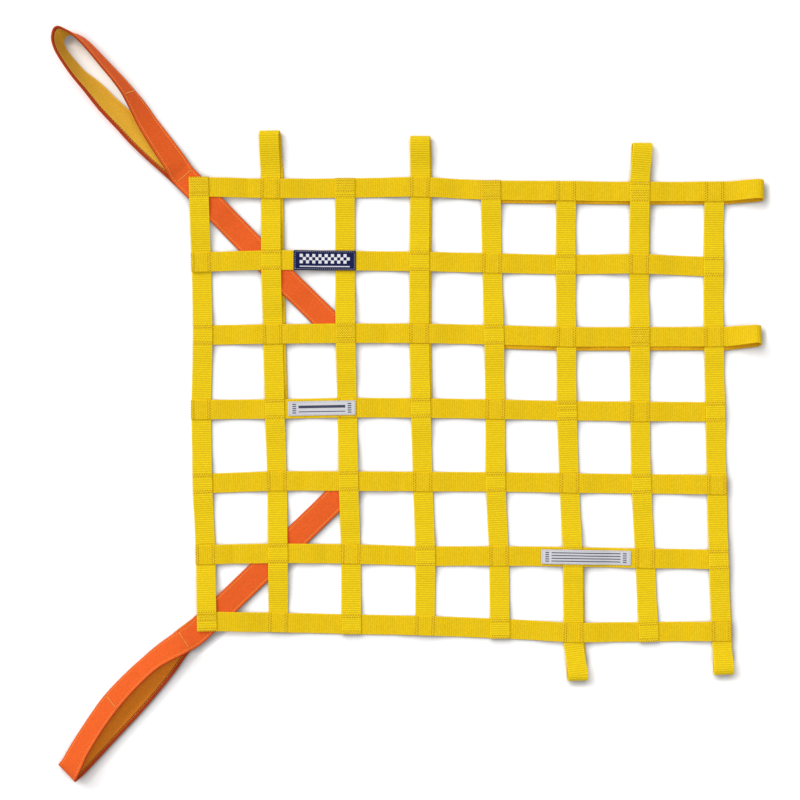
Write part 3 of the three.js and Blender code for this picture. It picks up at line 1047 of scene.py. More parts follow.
def soften(values, window):
    """Mean over a few neighbours on each side, with the ends carried on straight."""
    before = values[:1] * 2 - values[window:0:-1]
    after = values[-1:] * 2 - values[-2 : -window - 2 : -1]
    padded = np.vstack([before, values, after])
    total = np.cumsum(np.vstack([np.zeros((1, values.shape[1])), padded]), axis=0)
    width = 2 * window + 1
    return (total[width:] - total[:-width]) / width


def make_mesh(name, points, faces, uv=None, sharp=0, marks=None):
    """Mesh from points in millimetres and a list of face arrays, one array for each number of corners.

    The last faces, as many as sharp says, are shaded flat. marks holds an array for each attribute."""
    mesh = bpy.data.meshes.new(name)
    corners = np.concatenate([block.ravel() for block in faces]).astype(np.int32)
    sizes = np.concatenate([np.full(len(block), block.shape[1]) for block in faces])
    starts = np.concatenate([[0], np.cumsum(sizes)[:-1]]).astype(np.int32)
    mesh.vertices.add(len(points))
    mesh.vertices.foreach_set("co", (points * MM).astype(np.float32).ravel())
    mesh.loops.add(len(corners))
    mesh.loops.foreach_set("vertex_index", corners)
    mesh.polygons.add(len(sizes))
    mesh.polygons.foreach_set("loop_start", starts)
    smooth = np.ones(len(sizes), bool)
    if sharp:
        smooth[-sharp:] = False
    mesh.polygons.foreach_set("use_smooth", smooth)
    if uv is not None:
        layer = mesh.uv_layers.new(name="strap")
        layer.data.foreach_set("uv", (uv[corners] * MM).astype(np.float32).ravel())
    for mark, values in (marks or {}).items():
        attribute = mesh.attributes.new(mark, "FLOAT", "POINT")
        attribute.data.foreach_set("value", values.astype(np.float32).ravel())
    mesh.update(calc_edges=True)
    mesh.validate()
    thing = bpy.data.objects.new(name, mesh)
    bpy.context.scene.collection.objects.link(thing)
    return thing


def sweep(name, path, across, off, marks=None):
    """Closed strap: a profile carried along a path.

    Each point is the path's middle, plus the left direction times its place across, plus the outward
    direction times its height off the middle plane. across and off have a row for each station and a
    column for each point of the profile."""
    stations, columns = off.shape
    points = path.at[:, None] + path.across[:, None] * across[..., None] + path.out[:, None] * off[..., None]
    i = np.arange(stations - 1)[:, None] * columns
    j = np.arange(columns)[None, :]
    k = (j + 1) % columns
    quads = np.stack([i + j, i + columns + j, i + columns + k, i + k], -1).reshape(-1, 4)
    ring = np.arange(columns)
    ends = np.stack([ring, (ring + (stations - 1) * columns)[::-1]])
    uv = np.stack([np.broadcast_to(path.s[:, None], off.shape), across], -1).reshape(-1, 2)
    return make_mesh(name, points.reshape(-1, 3), [quads, ends], uv, 2, marks)


def profile_arrays(profile):
    """The three columns of a profile table."""
    return [np.array([row[key] for row in profile], float) for key in ("across", "height", "rib")]


def wander(s, seed, size):
    """Slow, uneven wave along a strap: the sum of three sines with lengths that never meet."""
    waves = [(61.0, 1.0), (23.7, 0.6), (9.1, 0.35)]
    return size * sum(part * np.sin(2 * np.pi * s / long + seed * (2.1 + part * 5)) for long, part in waves)


def webbing(name, path, profile, thick, middle, rib_pitch, rib_height, seed, presses=()):
    """Ribbed webbing with rounded selvedges.

    The profile's heights are scaled to half the thickness; the ribs are a cosine along the strap, and
    widen it a little. Each press is a row of zigzag stitches, which draws one face in along its two
    lines; the attribute "sewn" is below 0 near the first line and above 0 near the second. The attribute
    "inner" is 1 on the inner face."""
    across, height, rib = profile_arrays(profile)
    s = path.s[:, None]
    ribs = rib_height * np.cos(2 * np.pi * s / rib_pitch)
    face = np.sign(height)
    off = middle + height * thick / 2 + face * rib * ribs
    sewn = np.zeros_like(off)
    for place, side, depth, width in presses:
        near = [np.exp(-(((s - place - way * width / 2) / PRESS_SPREAD) ** 2)) for way in (-1, 1)]
        off = off - side * (face == side) * depth * (near[0] + near[1])
        sewn += (face == side) * (near[1] - near[0])
    edge = 1 + wander(s, seed, EDGE_WANDER) + (np.abs(rib) > 0) * ribs * RIB_WIDENING
    marks = {"sewn": sewn, "inner": np.broadcast_to(face < 0, off.shape)}
    return sweep(name, path, across * edge, off, marks)


def threads(name, starts, ends, ups, radius, arch):
    """Stitches: each is a tube of four sides on a low arch from its start to its end.

    The middle is mixed from both ends, plus up times the arch times a half sine, less half the arch; the
    tube is thin at its ends, where it goes into the cloth."""
    part = np.array([0.0, 0.2, 0.5, 0.8, 1.0])
    fat = np.array([0.35, 1.0, 1.1, 1.0, 0.35])
    turn = np.arange(4) * np.pi / 2
    count, points_each = len(starts), 4 * len(part)
    along = unit(ends - starts)
    side = unit(np.cross(ups, along))
    lift = np.cross(along, side)
    middle = starts[:, None] + (ends - starts)[:, None] * part[None, :, None]
    middle = middle + ups[:, None] * (arch * np.sin(np.pi * part) - 0.5 * arch)[None, :, None]
    ring = side[:, None] * np.cos(turn)[None, :, None] + lift[:, None] * np.sin(turn)[None, :, None]
    points = middle[:, :, None] + ring[:, None] * (radius * fat)[None, :, None, None]
    first = (np.arange(count) * points_each)[:, None, None]
    i = (np.arange(4) * 4)[None, :, None]
    j = np.arange(4)[None, None, :]
    k = (j + 1) % 4
    quads = np.stack([first + i + j, first + i + k, first + i + 4 + k, first + i + 4 + j], -1).reshape(-1, 4)
    base = (np.arange(count) * points_each)[:, None]
    ring_corners = np.arange(4)
    caps = np.concatenate([base + ring_corners[::-1], base + points_each - 4 + ring_corners])
    return make_mesh(name, points.reshape(-1, 3), [np.vstack([quads, caps])])


class Seams:
    """Gathers stitches, as starts, ends and outward directions."""

    def __init__(self):
        self.starts = []
        self.ends = []
        self.ups = []

    def add(self, path, s, across, off):
        """Stitches between points that follow each other, on one face of a strap."""
        points = path.place(s, across, np.full(len(s), off))
        self.keep(points[:-1], points[1:], path.normal(s)[:-1] * np.sign(off))

    def keep(self, starts, ends, ups):
        """Keeps finished stitches."""
        self.starts.append(starts)
        self.ends.append(ends)
        self.ups.append(ups)

    def zigzag_over(self, path, s, off, width, pitch, half):
        """Zigzag row across a strap at a distance."""
        across = np.arange(-half, half + pitch / 2, pitch)
        sway = np.where(np.arange(len(across)) % 2 == 0, -0.5, 0.5) * width
        self.add(path, s + sway, across, off)

    def zigzag_along(self, path, s, across, off, width, pitch, half):
        """Zigzag row along a strap, centred on a distance."""
        along = np.arange(-half, half + pitch / 2, pitch)
        sway = np.where(np.arange(len(along)) % 2 == 0, -0.5, 0.5) * width
        self.add(path, s + along, across + sway, off)

    def straight(self, path, start, end, across, off, pitch, share=STITCH_SHARE):
        """Row of straight stitches along a strap, with a gap after each."""
        s = np.arange(start, end - pitch, pitch)
        a = path.place(s, np.full(len(s), across), np.full(len(s), off))
        b = path.place(s + pitch * share, np.full(len(s), across), np.full(len(s), off))
        self.keep(a, b, path.normal(s) * np.sign(off))

    def bar(self, path, s, off, half, pitch, share=STITCH_SHARE):
        """Row of straight stitches across a strap."""
        across = np.arange(-half, half - pitch / 2, pitch)
        a = path.place(np.full(len(across), s), across, np.full(len(across), off))
        b = path.place(np.full(len(across), s), across + pitch * share, np.full(len(across), off))
        self.keep(a, b, path.normal(np.full(len(across), s)) * np.sign(off))

    def build(self, name, radius, arch):
        """All gathered stitches as one piece."""
        return threads(name, np.vstack(self.starts), np.vstack(self.ends), np.vstack(self.ups), radius, arch)


def strap_path(strap, step):
    """Path of a net strap: its run, and its loop and leg if it has them."""
    parts = [strap["run"].sections()]
    if strap["loop"]:
        parts.append((*fixing_loop(strap), None))
        at, across, along = strap["leg"].sections(-1)
        parts.append((at[1:], across[1:], along[1:]))
    return Path(parts, step)


def release_path(release, step):
    """Path of a release strap: its run, its hand loop and the leg that comes back."""
    at, across, along = release["run"].sections()
    leg_at, leg_across, leg_along = release["leg"].sections(-1)
    parts = [
        (at[:-1], across[:-1], along[:-1]),
        (*release["loop_sections"], None),
        (leg_at[1:], leg_across[1:], leg_along[1:]),
    ]
    return Path(parts, step)


def sewn_crossings(uprights, levels):
    """For each crossing: the upper strap, the lower one, the places on both, and the row places."""
    for upright in uprights:
        for level in levels:
            upper, lower = (upright, level) if lies_over(upright, level) else (level, upright)
            place_up, place_low, _ = meet(upper["run"], lower["run"])
            rows = [-ROW_PLACE, ROW_PLACE]
            for dense in DENSE_CROSSINGS:
                if (dense["upright"], dense["level"]) == (upright["upright"], level["level"]):
                    rows = rows + dense["rows"]
            yield upper, lower, place_up, place_low, rows


def under_leg(strap, other):
    """Whether the strap's turned-back leg passes under its crossing with the other strap."""
    number = other["level"] if strap["level"] is None else other["upright"]
    return bool(strap["leg"]) and number in strap["leg_spots"]


def net_paths(step):
    """Layout of the net with a path for every net strap, by node name."""
    uprights, levels, releases, labels = lay_out()
    paths = {strap["node"]: strap_path(strap, step) for strap in uprights + levels}
    return uprights, levels, releases, labels, paths


# Materials


def node(tree, kind, inputs=None, **settings):
    """Adds a node, sets its fields, and gives each input a value or a link."""
    made = tree.nodes.new(kind)
    for key, value in settings.items():
        setattr(made, key, value)
    for key, value in (inputs or {}).items():
        if isinstance(value, bpy.types.NodeSocket):
            tree.links.new(value, made.inputs[key])
        else:
            made.inputs[key].default_value = value
    return made


def math_node(tree, operation, *values):
    """Result of a math node."""
    made = node(tree, "ShaderNodeMath", dict(enumerate(values)), operation=operation)
    return made.outputs[0]


def mix(tree, factor, first, second):
    """Mix of two colours."""
    made = node(tree, "ShaderNodeMix", {0: factor, 6: first, 7: second}, data_type="RGBA")
    return made.outputs[2]


def ranged(tree, value, low, high, to_low=0.0, to_high=1.0, smooth=True):
    """Value carried from one range to another, and held at its ends."""
    kind = "SMOOTHSTEP" if smooth else "LINEAR"
    inputs = {0: value, 1: low, 2: high, 3: to_low, 4: to_high}
    return node(tree, "ShaderNodeMapRange", inputs, interpolation_type=kind, clamp=True).outputs[0]


def wave(tree, angle):
    """Cosine of an angle, carried to 0 to 1."""
    return ranged(tree, math_node(tree, "COSINE", angle), -1.0, 1.0, smooth=False)


def noise(tree, vector, scale, roughness):
    """Noise with three finer octaves."""
    inputs = {"Vector": vector, "Scale": scale, "Detail": 3.0, "Roughness": roughness}
    return node(tree, "ShaderNodeTexNoise", inputs).outputs[0]


def object_place(tree):
    """Place on the piece in the row frame."""
    return node(tree, "ShaderNodeTexCoord").outputs["Object"]


def relief(tree, shader, height, strength, distance):
    """Low relief from a height."""
    inputs = {"Strength": strength, "Distance": distance, "Height": height}
    tree.links.new(node(tree, "ShaderNodeBump", inputs).outputs[0], shader.inputs["Normal"])


def new_group(name, inputs, outputs):
    """Empty node group with its sockets.

    inputs holds the default of each number by its name, or None for a vector; outputs holds the names of
    the numbers that it puts out."""
    tree = bpy.data.node_groups.new(name, "ShaderNodeTree")
    for label, default in inputs.items():
        kind = "NodeSocketVector" if default is None else "NodeSocketFloat"
        socket = tree.interface.new_socket(name=label, in_out="INPUT", socket_type=kind)
        if default is not None:
            socket.default_value = default
    for label in outputs:
        tree.interface.new_socket(name=label, in_out="OUTPUT", socket_type="NodeSocketFloat")
    return tree, tree.nodes.new("NodeGroupInput").outputs, tree.nodes.new("NodeGroupOutput").inputs


def ready_group(name, build):
    """The node group of that name, built on its first use."""
    return bpy.data.node_groups.get(name) or build(name)


def weave_group(name):
    """Woven webbing: weft ribs along the strap, and warp yarns that change places from rib to rib.

    Height is the cosine of the way along times half of one plus the cosine of the way across, with both
    cosines carried to 0 to 1. Shade is 0.65 of the first cosine plus 0.35 of the height."""
    inputs = {"Along": 0.0, "Across": 0.0, "Rib pitch": 0.0014, "Yarn pitch": 0.0006}
    tree, given, result = new_group(name, inputs, ["Shade", "Height"])
    way = math_node(tree, "DIVIDE", given["Along"], given["Rib pitch"])
    rib = wave(tree, math_node(tree, "MULTIPLY", way, 2 * math.pi))
    number = math_node(tree, "FLOOR", math_node(tree, "ADD", way, 0.5))
    turn = math_node(tree, "MULTIPLY", number, math.pi)
    aside = math_node(tree, "DIVIDE", given["Across"], given["Yarn pitch"])
    yarns = wave(tree, math_node(tree, "ADD", math_node(tree, "MULTIPLY", aside, 2 * math.pi), turn))
    both = math_node(tree, "MULTIPLY", rib, math_node(tree, "MULTIPLY_ADD", yarns, 0.5, 0.5))
    shade = math_node(tree, "MULTIPLY_ADD", rib, 0.65, math_node(tree, "MULTIPLY", both, 0.35))
    tree.links.new(shade, result["Shade"])
    tree.links.new(both, result["Height"])
    return tree


def edge_group(name):
    """Selvedge mask: 1 within a band at both edges of a strap, and 0 inside."""
    inputs = {"Across": 0.0, "Half width": 0.01, "Band": 0.0015}
    tree, given, result = new_group(name, inputs, ["Edge"])
    inside = math_node(tree, "SUBTRACT", given["Half width"], given["Band"])
    soft = math_node(tree, "MULTIPLY_ADD", given["Band"], 0.35, inside)
    place = math_node(tree, "ABSOLUTE", given["Across"])
    tree.links.new(ranged(tree, place, inside, soft), result["Edge"])
    return tree


def wear_group(name):
    """Uneven tone of used cloth: broad patches, and fine fibre flecks, both from noise."""
    tree, given, result = new_group(name, {"Vector": None}, ["Patches", "Flecks"])
    broad = noise(tree, given["Vector"], **PATCH_NOISE)
    fine = noise(tree, given["Vector"], **FLECK_NOISE)
    tree.links.new(ranged(tree, broad, 0.3, 0.7), result["Patches"])
    tree.links.new(ranged(tree, fine, 0.33, 0.67), result["Flecks"])
    return tree


def dents_group(name):
    """Dents between the stitches along both lines of a zigzag row.

    Half the size of the sewn value, less half of it times a cosine across the strap, so that the dents
    of one line lie between those of the other."""
    inputs = {"Sewn": 0.0, "Across": 0.0, "Pitch": 0.0022, "Start": 0.0}
    tree, given, result = new_group(name, inputs, ["Dents"])
    past = math_node(tree, "SUBTRACT", given["Across"], given["Start"])
    way = math_node(tree, "DIVIDE", past, given["Pitch"])
    sway = math_node(tree, "COSINE", math_node(tree, "MULTIPLY", way, 2 * math.pi))
    signed = math_node(tree, "MULTIPLY", given["Sewn"], sway)
    both = math_node(tree, "SUBTRACT", math_node(tree, "ABSOLUTE", given["Sewn"]), signed)
    tree.links.new(math_node(tree, "MULTIPLY", both, 0.5), result["Dents"])
    return tree


def colour(values, factor=1.0):
    """A colour with full alpha, made lighter or darker."""
    return (*(min(1.0, value * factor) for value in values), 1.0)


def new_material(name):
    """Material with a shader, and its tree."""
    material = bpy.data.materials.new(name)
    material.use_nodes = True
    tree = material.node_tree
    return material, tree, tree.nodes["Principled BSDF"]


def strap_axes(tree):
    """Distance along the strap and place across it, from the piece's own UV map."""
    uv = node(tree, "ShaderNodeUVMap", uv_map="strap")
    split = node(tree, "ShaderNodeSeparateXYZ", {0: uv.outputs[0]})
    return split.outputs[0], split.outputs[1]


def grouped(tree, name, build, **values):
    """Adds a shared group, and gives each of its inputs a value or a link; an underline is a space."""
    made = node(tree, "ShaderNodeGroup", node_tree=ready_group(name, build))
    for key, value in values.items():
        socket = made.inputs[key.replace("_", " ")]
        if isinstance(value, bpy.types.NodeSocket):
            tree.links.new(value, socket)
        else:
            socket.default_value = value
    return made.outputs


def cloth_material(name, base, cloth):
    """Woven cloth from the shared groups: weave with painted shade in its valleys and a painted highlight on
    its crests, selvedges with painted light, painted shade in the dents between stitches, and uneven tone.

    cloth holds half_width, rib_pitch, yarn_pitch, depth of the weave, painted shade of its valleys, the
    edges' painted light, share and band, the zigzag rows' pitch and start, and roughness, and may hold a
    colour for the inner face, which is painted shade on the net's webbing and the cover's hem."""
    material, tree, shader = new_material(name)
    along, across = strap_axes(tree)
    place = object_place(tree)
    pitches = {"Rib_pitch": cloth["rib_pitch"], "Yarn_pitch": cloth["yarn_pitch"]}
    weave = grouped(tree, "weave", weave_group, Along=along, Across=across, **pitches)
    edges = {"Half_width": cloth["half_width"], "Band": cloth["edge_band"]}
    edge = grouped(tree, "selvedge", edge_group, Across=across, **edges)
    wear = grouped(tree, "wear", wear_group, Vector=place)
    sewn = node(tree, "ShaderNodeAttribute", attribute_name="sewn").outputs["Fac"]
    row = {"Pitch": cloth["zigzag_pitch"], "Start": cloth["zigzag_start"]}
    dents = grouped(tree, "stitch_dents", dents_group, Sewn=sewn, Across=across, **row)
    # Painted shade in the weave's valleys and a painted highlight on its crests.
    crest_highlight = colour(base, 1 + cloth["shade"] * 0.3)
    ribbed = mix(tree, weave["Shade"], colour(base, 1 - cloth["shade"]), crest_highlight)
    worn = mix(tree, 0.5, ribbed, colour(base, WORN_TONE))
    patched = mix(tree, math_node(tree, "MULTIPLY", wear["Patches"], 0.5), ribbed, worn)
    fleck_share = math_node(tree, "MULTIPLY", wear["Flecks"], 0.55)
    flecked = mix(tree, fleck_share, patched, colour(base, FLECK_TONE))
    # Painted light at the selvedges: a painted highlight on the webbings, painted shade on the cover's rim.
    edge_share = math_node(tree, "MULTIPLY", edge["Edge"], cloth["edge_share"])
    with_painted_light = mix(tree, edge_share, flecked, colour(base, cloth["painted_edge_highlight_and_shade"]))
    # Painted shade on the inner face: on the net's webbing a darker copy of its colour, on the cover the
    # dark hem.
    if "inner" in cloth:
        inner = node(tree, "ShaderNodeAttribute", attribute_name="inner").outputs["Fac"]
        folded = mix(tree, wear["Flecks"], colour(cloth["inner"], 0.9), colour(cloth["inner"], 1.1))
        with_painted_light = mix(tree, ranged(tree, inner, 0.3, 0.7), with_painted_light, folded)
    # Painted shade in the dents between stitches.
    shadow = (*(value * left for value, left in zip(base, DENT_SHADE)), 1.0)
    tree.links.new(mix(tree, dents["Dents"], with_painted_light, shadow), shader.inputs["Base Color"])
    rough = ranged(tree, wear["Flecks"], 0.0, 1.0, cloth["roughness"] - 0.08, cloth["roughness"] + 0.06)
    tree.links.new(rough, shader.inputs["Roughness"])
    height = math_node(tree, "MULTIPLY_ADD", wear["Flecks"], 0.25, weave["Height"])
    relief(tree, shader, math_node(tree, "SUBTRACT", height, dents["Dents"]), 0.6, cloth["depth"])
    shader.inputs["Specular IOR Level"].default_value = 0.08
    return material


def thread_material(name, base):
    """Sewing thread: uneven plies as fine noise."""
    material, tree, shader = new_material(name)
    wear = grouped(tree, "wear", wear_group, Vector=object_place(tree))
    plies = mix(tree, wear["Flecks"], colour(base, 0.82), colour(base, 1.15))
    tree.links.new(plies, shader.inputs["Base Color"])
    relief(tree, shader, wear["Flecks"], 0.4, 0.0001)
    shader.inputs["Roughness"].default_value = 0.55
    shader.inputs["Specular IOR Level"].default_value = 0.15
    return material


def band(tree, value, middle, half):
    """1 where a value is within half of the middle, and 0 elsewhere."""
    past = math_node(tree, "ABSOLUTE", math_node(tree, "SUBTRACT", value, middle))
    return math_node(tree, "LESS_THAN", past, half)


def dark_marks(tree, centred, across):
    """Chequered band of three rows over one rule."""
    row = math_node(tree, "FLOOR", math_node(tree, "DIVIDE", across, CHEQUER))
    column = math_node(tree, "FLOOR", math_node(tree, "DIVIDE", centred, CHEQUER))
    both = math_node(tree, "ABSOLUTE", math_node(tree, "ADD", row, column))
    odd = math_node(tree, "MODULO", both, 2.0)
    chequer = math_node(tree, "MULTIPLY", odd, band(tree, across, CHEQUER / 2, CHEQUER * 1.5))
    marks = math_node(tree, "MAXIMUM", chequer, band(tree, across, *DARK_RULE))
    return math_node(tree, "MULTIPLY", marks, band(tree, centred, 0.0, CHEQUER * 8))


def pale_marks(tree, centred, across, half_length, half_width, rules):
    """Rules, each a middle and half its width, between two ladders of short bars."""
    marks = 0.0
    for middle, half in rules:
        marks = math_node(tree, "MAXIMUM", marks, band(tree, across, middle, half))
    marks = math_node(tree, "MULTIPLY", marks, band(tree, centred, 0.0, half_length - PALE_RULE_END))
    end = math_node(tree, "SUBTRACT", math_node(tree, "ABSOLUTE", centred), half_length - LADDER_END)
    side = band(tree, across, 0.0, half_width - LADDER_SIDE)
    bars = math_node(tree, "MULTIPLY", band(tree, end, 0.0, LADDER_HALF), side)
    sway = math_node(tree, "PINGPONG", across, LADDER_STEP)
    ladder = math_node(tree, "LESS_THAN", sway, LADDER_STEP / 2)
    return math_node(tree, "MAXIMUM", marks, math_node(tree, "MULTIPLY", bars, ladder))


def label_material(name, base, mark, length, half_width, kind):
    """Woven label: fine weave, a plain border, and generic marks in bands, bars and rules."""
    material, tree, shader = new_material(name)
    along, across = strap_axes(tree)
    centred = math_node(tree, "SUBTRACT", along, length / 2)
    fine = {"Rib_pitch": 0.0005, "Yarn_pitch": 0.0004}
    weave = grouped(tree, "weave", weave_group, Along=along, Across=across, **fine)
    wear = grouped(tree, "wear", wear_group, Vector=object_place(tree))
    if kind == "dark":
        marks = dark_marks(tree, centred, across)
    else:
        marks = pale_marks(tree, centred, across, length / 2, half_width, PALE_RULES[kind])
    marks = math_node(tree, "MULTIPLY", marks, band(tree, centred, 0.0, length / 2 - LABEL_BORDER))
    # Painted shade in the weave's valleys and a painted highlight on its crests.
    ground = mix(tree, weave["Shade"], colour(base, 0.8), colour(base, 1.08))
    worn = mix(tree, math_node(tree, "MULTIPLY", wear["Patches"], 0.3), ground, colour(base, 0.85))
    tree.links.new(mix(tree, marks, worn, colour(mark)), shader.inputs["Base Color"])
    relief(tree, shader, math_node(tree, "MULTIPLY_ADD", marks, 0.6, weave["Height"]), 0.5, 0.00012)
    rough = ranged(tree, wear["Flecks"], 0.0, 1.0, 0.5, 0.66)
    tree.links.new(rough, shader.inputs["Roughness"])
    shader.inputs["Specular IOR Level"].default_value = 0.12
    return material


def floor_material(base):
    """Matt pale floor, faintly uneven and self-lit, with a painted shadow on the lower right of what lies on
    it.
    """
    material, tree, shader = new_material("floor")
    inputs = {"Vector": object_place(tree), "Scale": 3.0, "Detail": 2.0}
    uneven = node(tree, "ShaderNodeTexNoise", inputs).outputs[0]
    ground = mix(tree, uneven, colour(base, 0.995), colour(base))
    # Painted shadow: the floor's colour darkens where occlusion towards the upper left finds something near.
    towards = node(tree, "ShaderNodeCombineXYZ", dict(enumerate(SHADE_TOWARDS))).outputs[0]
    inputs = {"Distance": SHADE_REACH, "Normal": towards}
    shelter = node(tree, "ShaderNodeAmbientOcclusion", inputs, samples=16)
    shade = ranged(tree, shelter.outputs["AO"], SHADE_FULL_AT, 1.0, smooth=False)
    tree.links.new(mix(tree, shade, colour(base, SHADE_TONE), ground), shader.inputs["Base Color"])
    shader.inputs["Emission Color"].default_value = (1.0, 1.0, 1.0, 1.0)
    shader.inputs["Emission Strength"].default_value = FLOOR_GLOW
    shader.inputs["Roughness"].default_value = 0.9
    shader.inputs["Specular IOR Level"].default_value = 0.1
    return material


# Operators


def settle_piece(piece, material, replaced, slot):
    """Gives a cloth piece its material and body, and hides the solid that it stands for; slot is not used.
    """
    piece.data.materials.append(material)
    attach(piece, "root")
    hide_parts(replaced)


def thread_piece(piece, material):
    """Gives a piece of stitches its material and body."""
    piece.data.materials.append(material)
    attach(piece, "root")


def build_net_straps(context, kind):
    """Makes the upright or the level straps."""
    sizes, colours = context.scene.net_sizes, context.scene.net_colours
    rib_pitch, zigzag = sizes.rib_pitch / MM, sizes.zigzag_width / MM
    uprights, levels, _, _, paths = net_paths(rib_pitch / RIB_STATIONS)
    if kind == "upright":
        own, others, flatter, first_seed = uprights, levels, 1.0, 0.0
        # Painted shade: the inner colour is a darker, more orange copy of the upright colour.
        base, inner = colours.upright, colours.upright_inner_shade
    else:
        own, others, flatter, first_seed = levels, uprights, LEVEL_FLATTER, 0.5
        # Painted shade: the level colour is a darker copy of the upright colour, and the inner colour a
        # darker copy of the level colour.
        base, inner = colours.level, colours.level_inner_shade
    presses = {name: [] for name in paths}
    for upper, _, place_up, _, rows in sewn_crossings(uprights, levels):
        middle = paths[upper["node"]].distance(0, place_up)
        presses[upper["node"]] += [(middle + row, 1, PRESS_DEPTH, zigzag) for row in rows]
    cloth = NET_CLOTH | {
        "rib_pitch": sizes.rib_pitch,
        "shade": NET_SHADE * flatter,
        "inner": inner,
        "zigzag_pitch": sizes.zigzag_pitch * 2,
        "zigzag_start": sizes.zigzag_pitch - SEAM_HALF * MM,
    }
    material = cloth_material(f"{kind}_webbing", base, cloth)
    for strap in own:
        path = paths[strap["node"]]
        piece = webbing(
            f"{kind}_webbing_{strap[kind]}",
            path,
            NET_PROFILE,
            thick=STRAP_THICK,
            middle=0.0,
            rib_pitch=rib_pitch,
            rib_height=sizes.rib_height / MM * flatter,
            seed=strap[kind] + first_seed,
            presses=presses[strap["node"]],
        )
        under = [other["node"] for other in others if lies_over(strap, other)]
        settle_piece(piece, material, strap["node"], "net_webbing")


class BuildUprights(bpy.types.Operator):
    """Makes the upright straps of the net."""

    bl_idname = "window_net.build_uprights"
    bl_label = "Upright straps"

    def execute(self, context):
        build_net_straps(context, "upright")
        return {"FINISHED"}


class BuildLevels(bpy.types.Operator):
    """Makes the level straps of the net."""

    bl_idname = "window_net.build_levels"
    bl_label = "Level straps"

    def execute(self, context):
        build_net_straps(context, "level")
        return {"FINISHED"}


class SewCrossings(bpy.types.Operator):
    """Sews the straps together with zigzag rows at every crossing."""

    bl_idname = "window_net.sew_crossings"
    bl_label = "Crossing stitches"

    def execute(self, context):
        sizes = context.scene.net_sizes
        uprights, levels, _, _, paths = net_paths(sizes.rib_pitch / MM / RIB_STATIONS)
        width, pitch = sizes.zigzag_width / MM, sizes.zigzag_pitch / MM
        top = STRAP_THICK / 2 - THREAD_SUNK
        under = top - THREAD_SUNK_BELOW
        half = SEAM_HALF
        seams = Seams()
        for upper, lower, place_up, place_low, rows in sewn_crossings(uprights, levels):
            path = paths[upper["node"]]
            s = path.distance(0, place_up)
            for row in rows:
                seams.zigzag_over(path, s + row, top, width, pitch, half)
            below = paths[lower["node"]]
            if under_leg(upper, lower):
                leg_place = meet(upper["leg"], lower["run"])[0]
                for row in rows:
                    seams.zigzag_over(path, path.distance(1, leg_place) + row, under, width, pitch, half)
            elif under_leg(lower, upper):
                leg_place = meet(lower["leg"], upper["run"])[0]
                for row in rows:
                    seams.zigzag_along(below, below.distance(1, leg_place), row, under, width, pitch, half)
            else:
                for row in rows:
                    seams.zigzag_along(below, below.distance(0, place_low), row, -under, width, pitch, half)
        strap = uprights[EDGE_SEAM["upright"]]
        path = paths[strap["node"]]
        crossed = meet(strap["run"], levels[EDGE_SEAM["level"]]["run"])[0]
        start = path.distance(0, crossed) + EDGE_SEAM["past"]
        end = start + EDGE_SEAM["length"]
        seams.straight(path, start, end, EDGE_SEAM["across"], top, EDGE_SEAM["pitch"])
        strap = levels[FOLD_SEAM["level"]]
        path = paths[strap["node"]]
        place = path.distance(0, FOLD_SEAM["x"] - strap["run"].points[0, 0])
        seams.bar(path, place, top, half, FOLD_SEAM["pitch"])
        piece = seams.build("crossing_stitches", sizes.thread_radius / MM, CROSSING_ARCH)
        thread_piece(piece, thread_material("net_thread", context.scene.net_colours.thread))
        return {"FINISHED"}


def sew_cover(release, path, bar_places, sizes):
    """A cover's stitches, as two pieces: the edge rows with the hem's own row, and the bars."""
    pitch, radius = sizes.stitch_pitch / MM, sizes.thread_radius / MM
    face = RELEASE_THICK / 2 - COVER_THREAD_SUNK
    seams, bars = Seams(), Seams()
    for across in (-COVER_ROW, COVER_ROW):
        end = path.length - COVER_ROW_END
        seams.straight(path, COVER_ROW_END, end, across, face, pitch, COVER_STITCH_SHARE)
    start, end = path.distance(0, release["run"].length), path.distance(1, 0)
    seams.straight(path, start, end, HEM_ROW, -face, pitch, COVER_STITCH_SHARE)
    for place in bar_places:
        bars.bar(path, place, RELEASE_THICK / 2 - COVER_BAR_SUNK, **COVER_BAR)
    sewing = seams.build(f"cover_stitches_{release['side']}", radius, COVER_ARCH)
    barring = bars.build(f"cover_bars_{release['side']}", radius * COVER_BAR_FATTER, COVER_BAR_ARCH)
    return sewing, barring


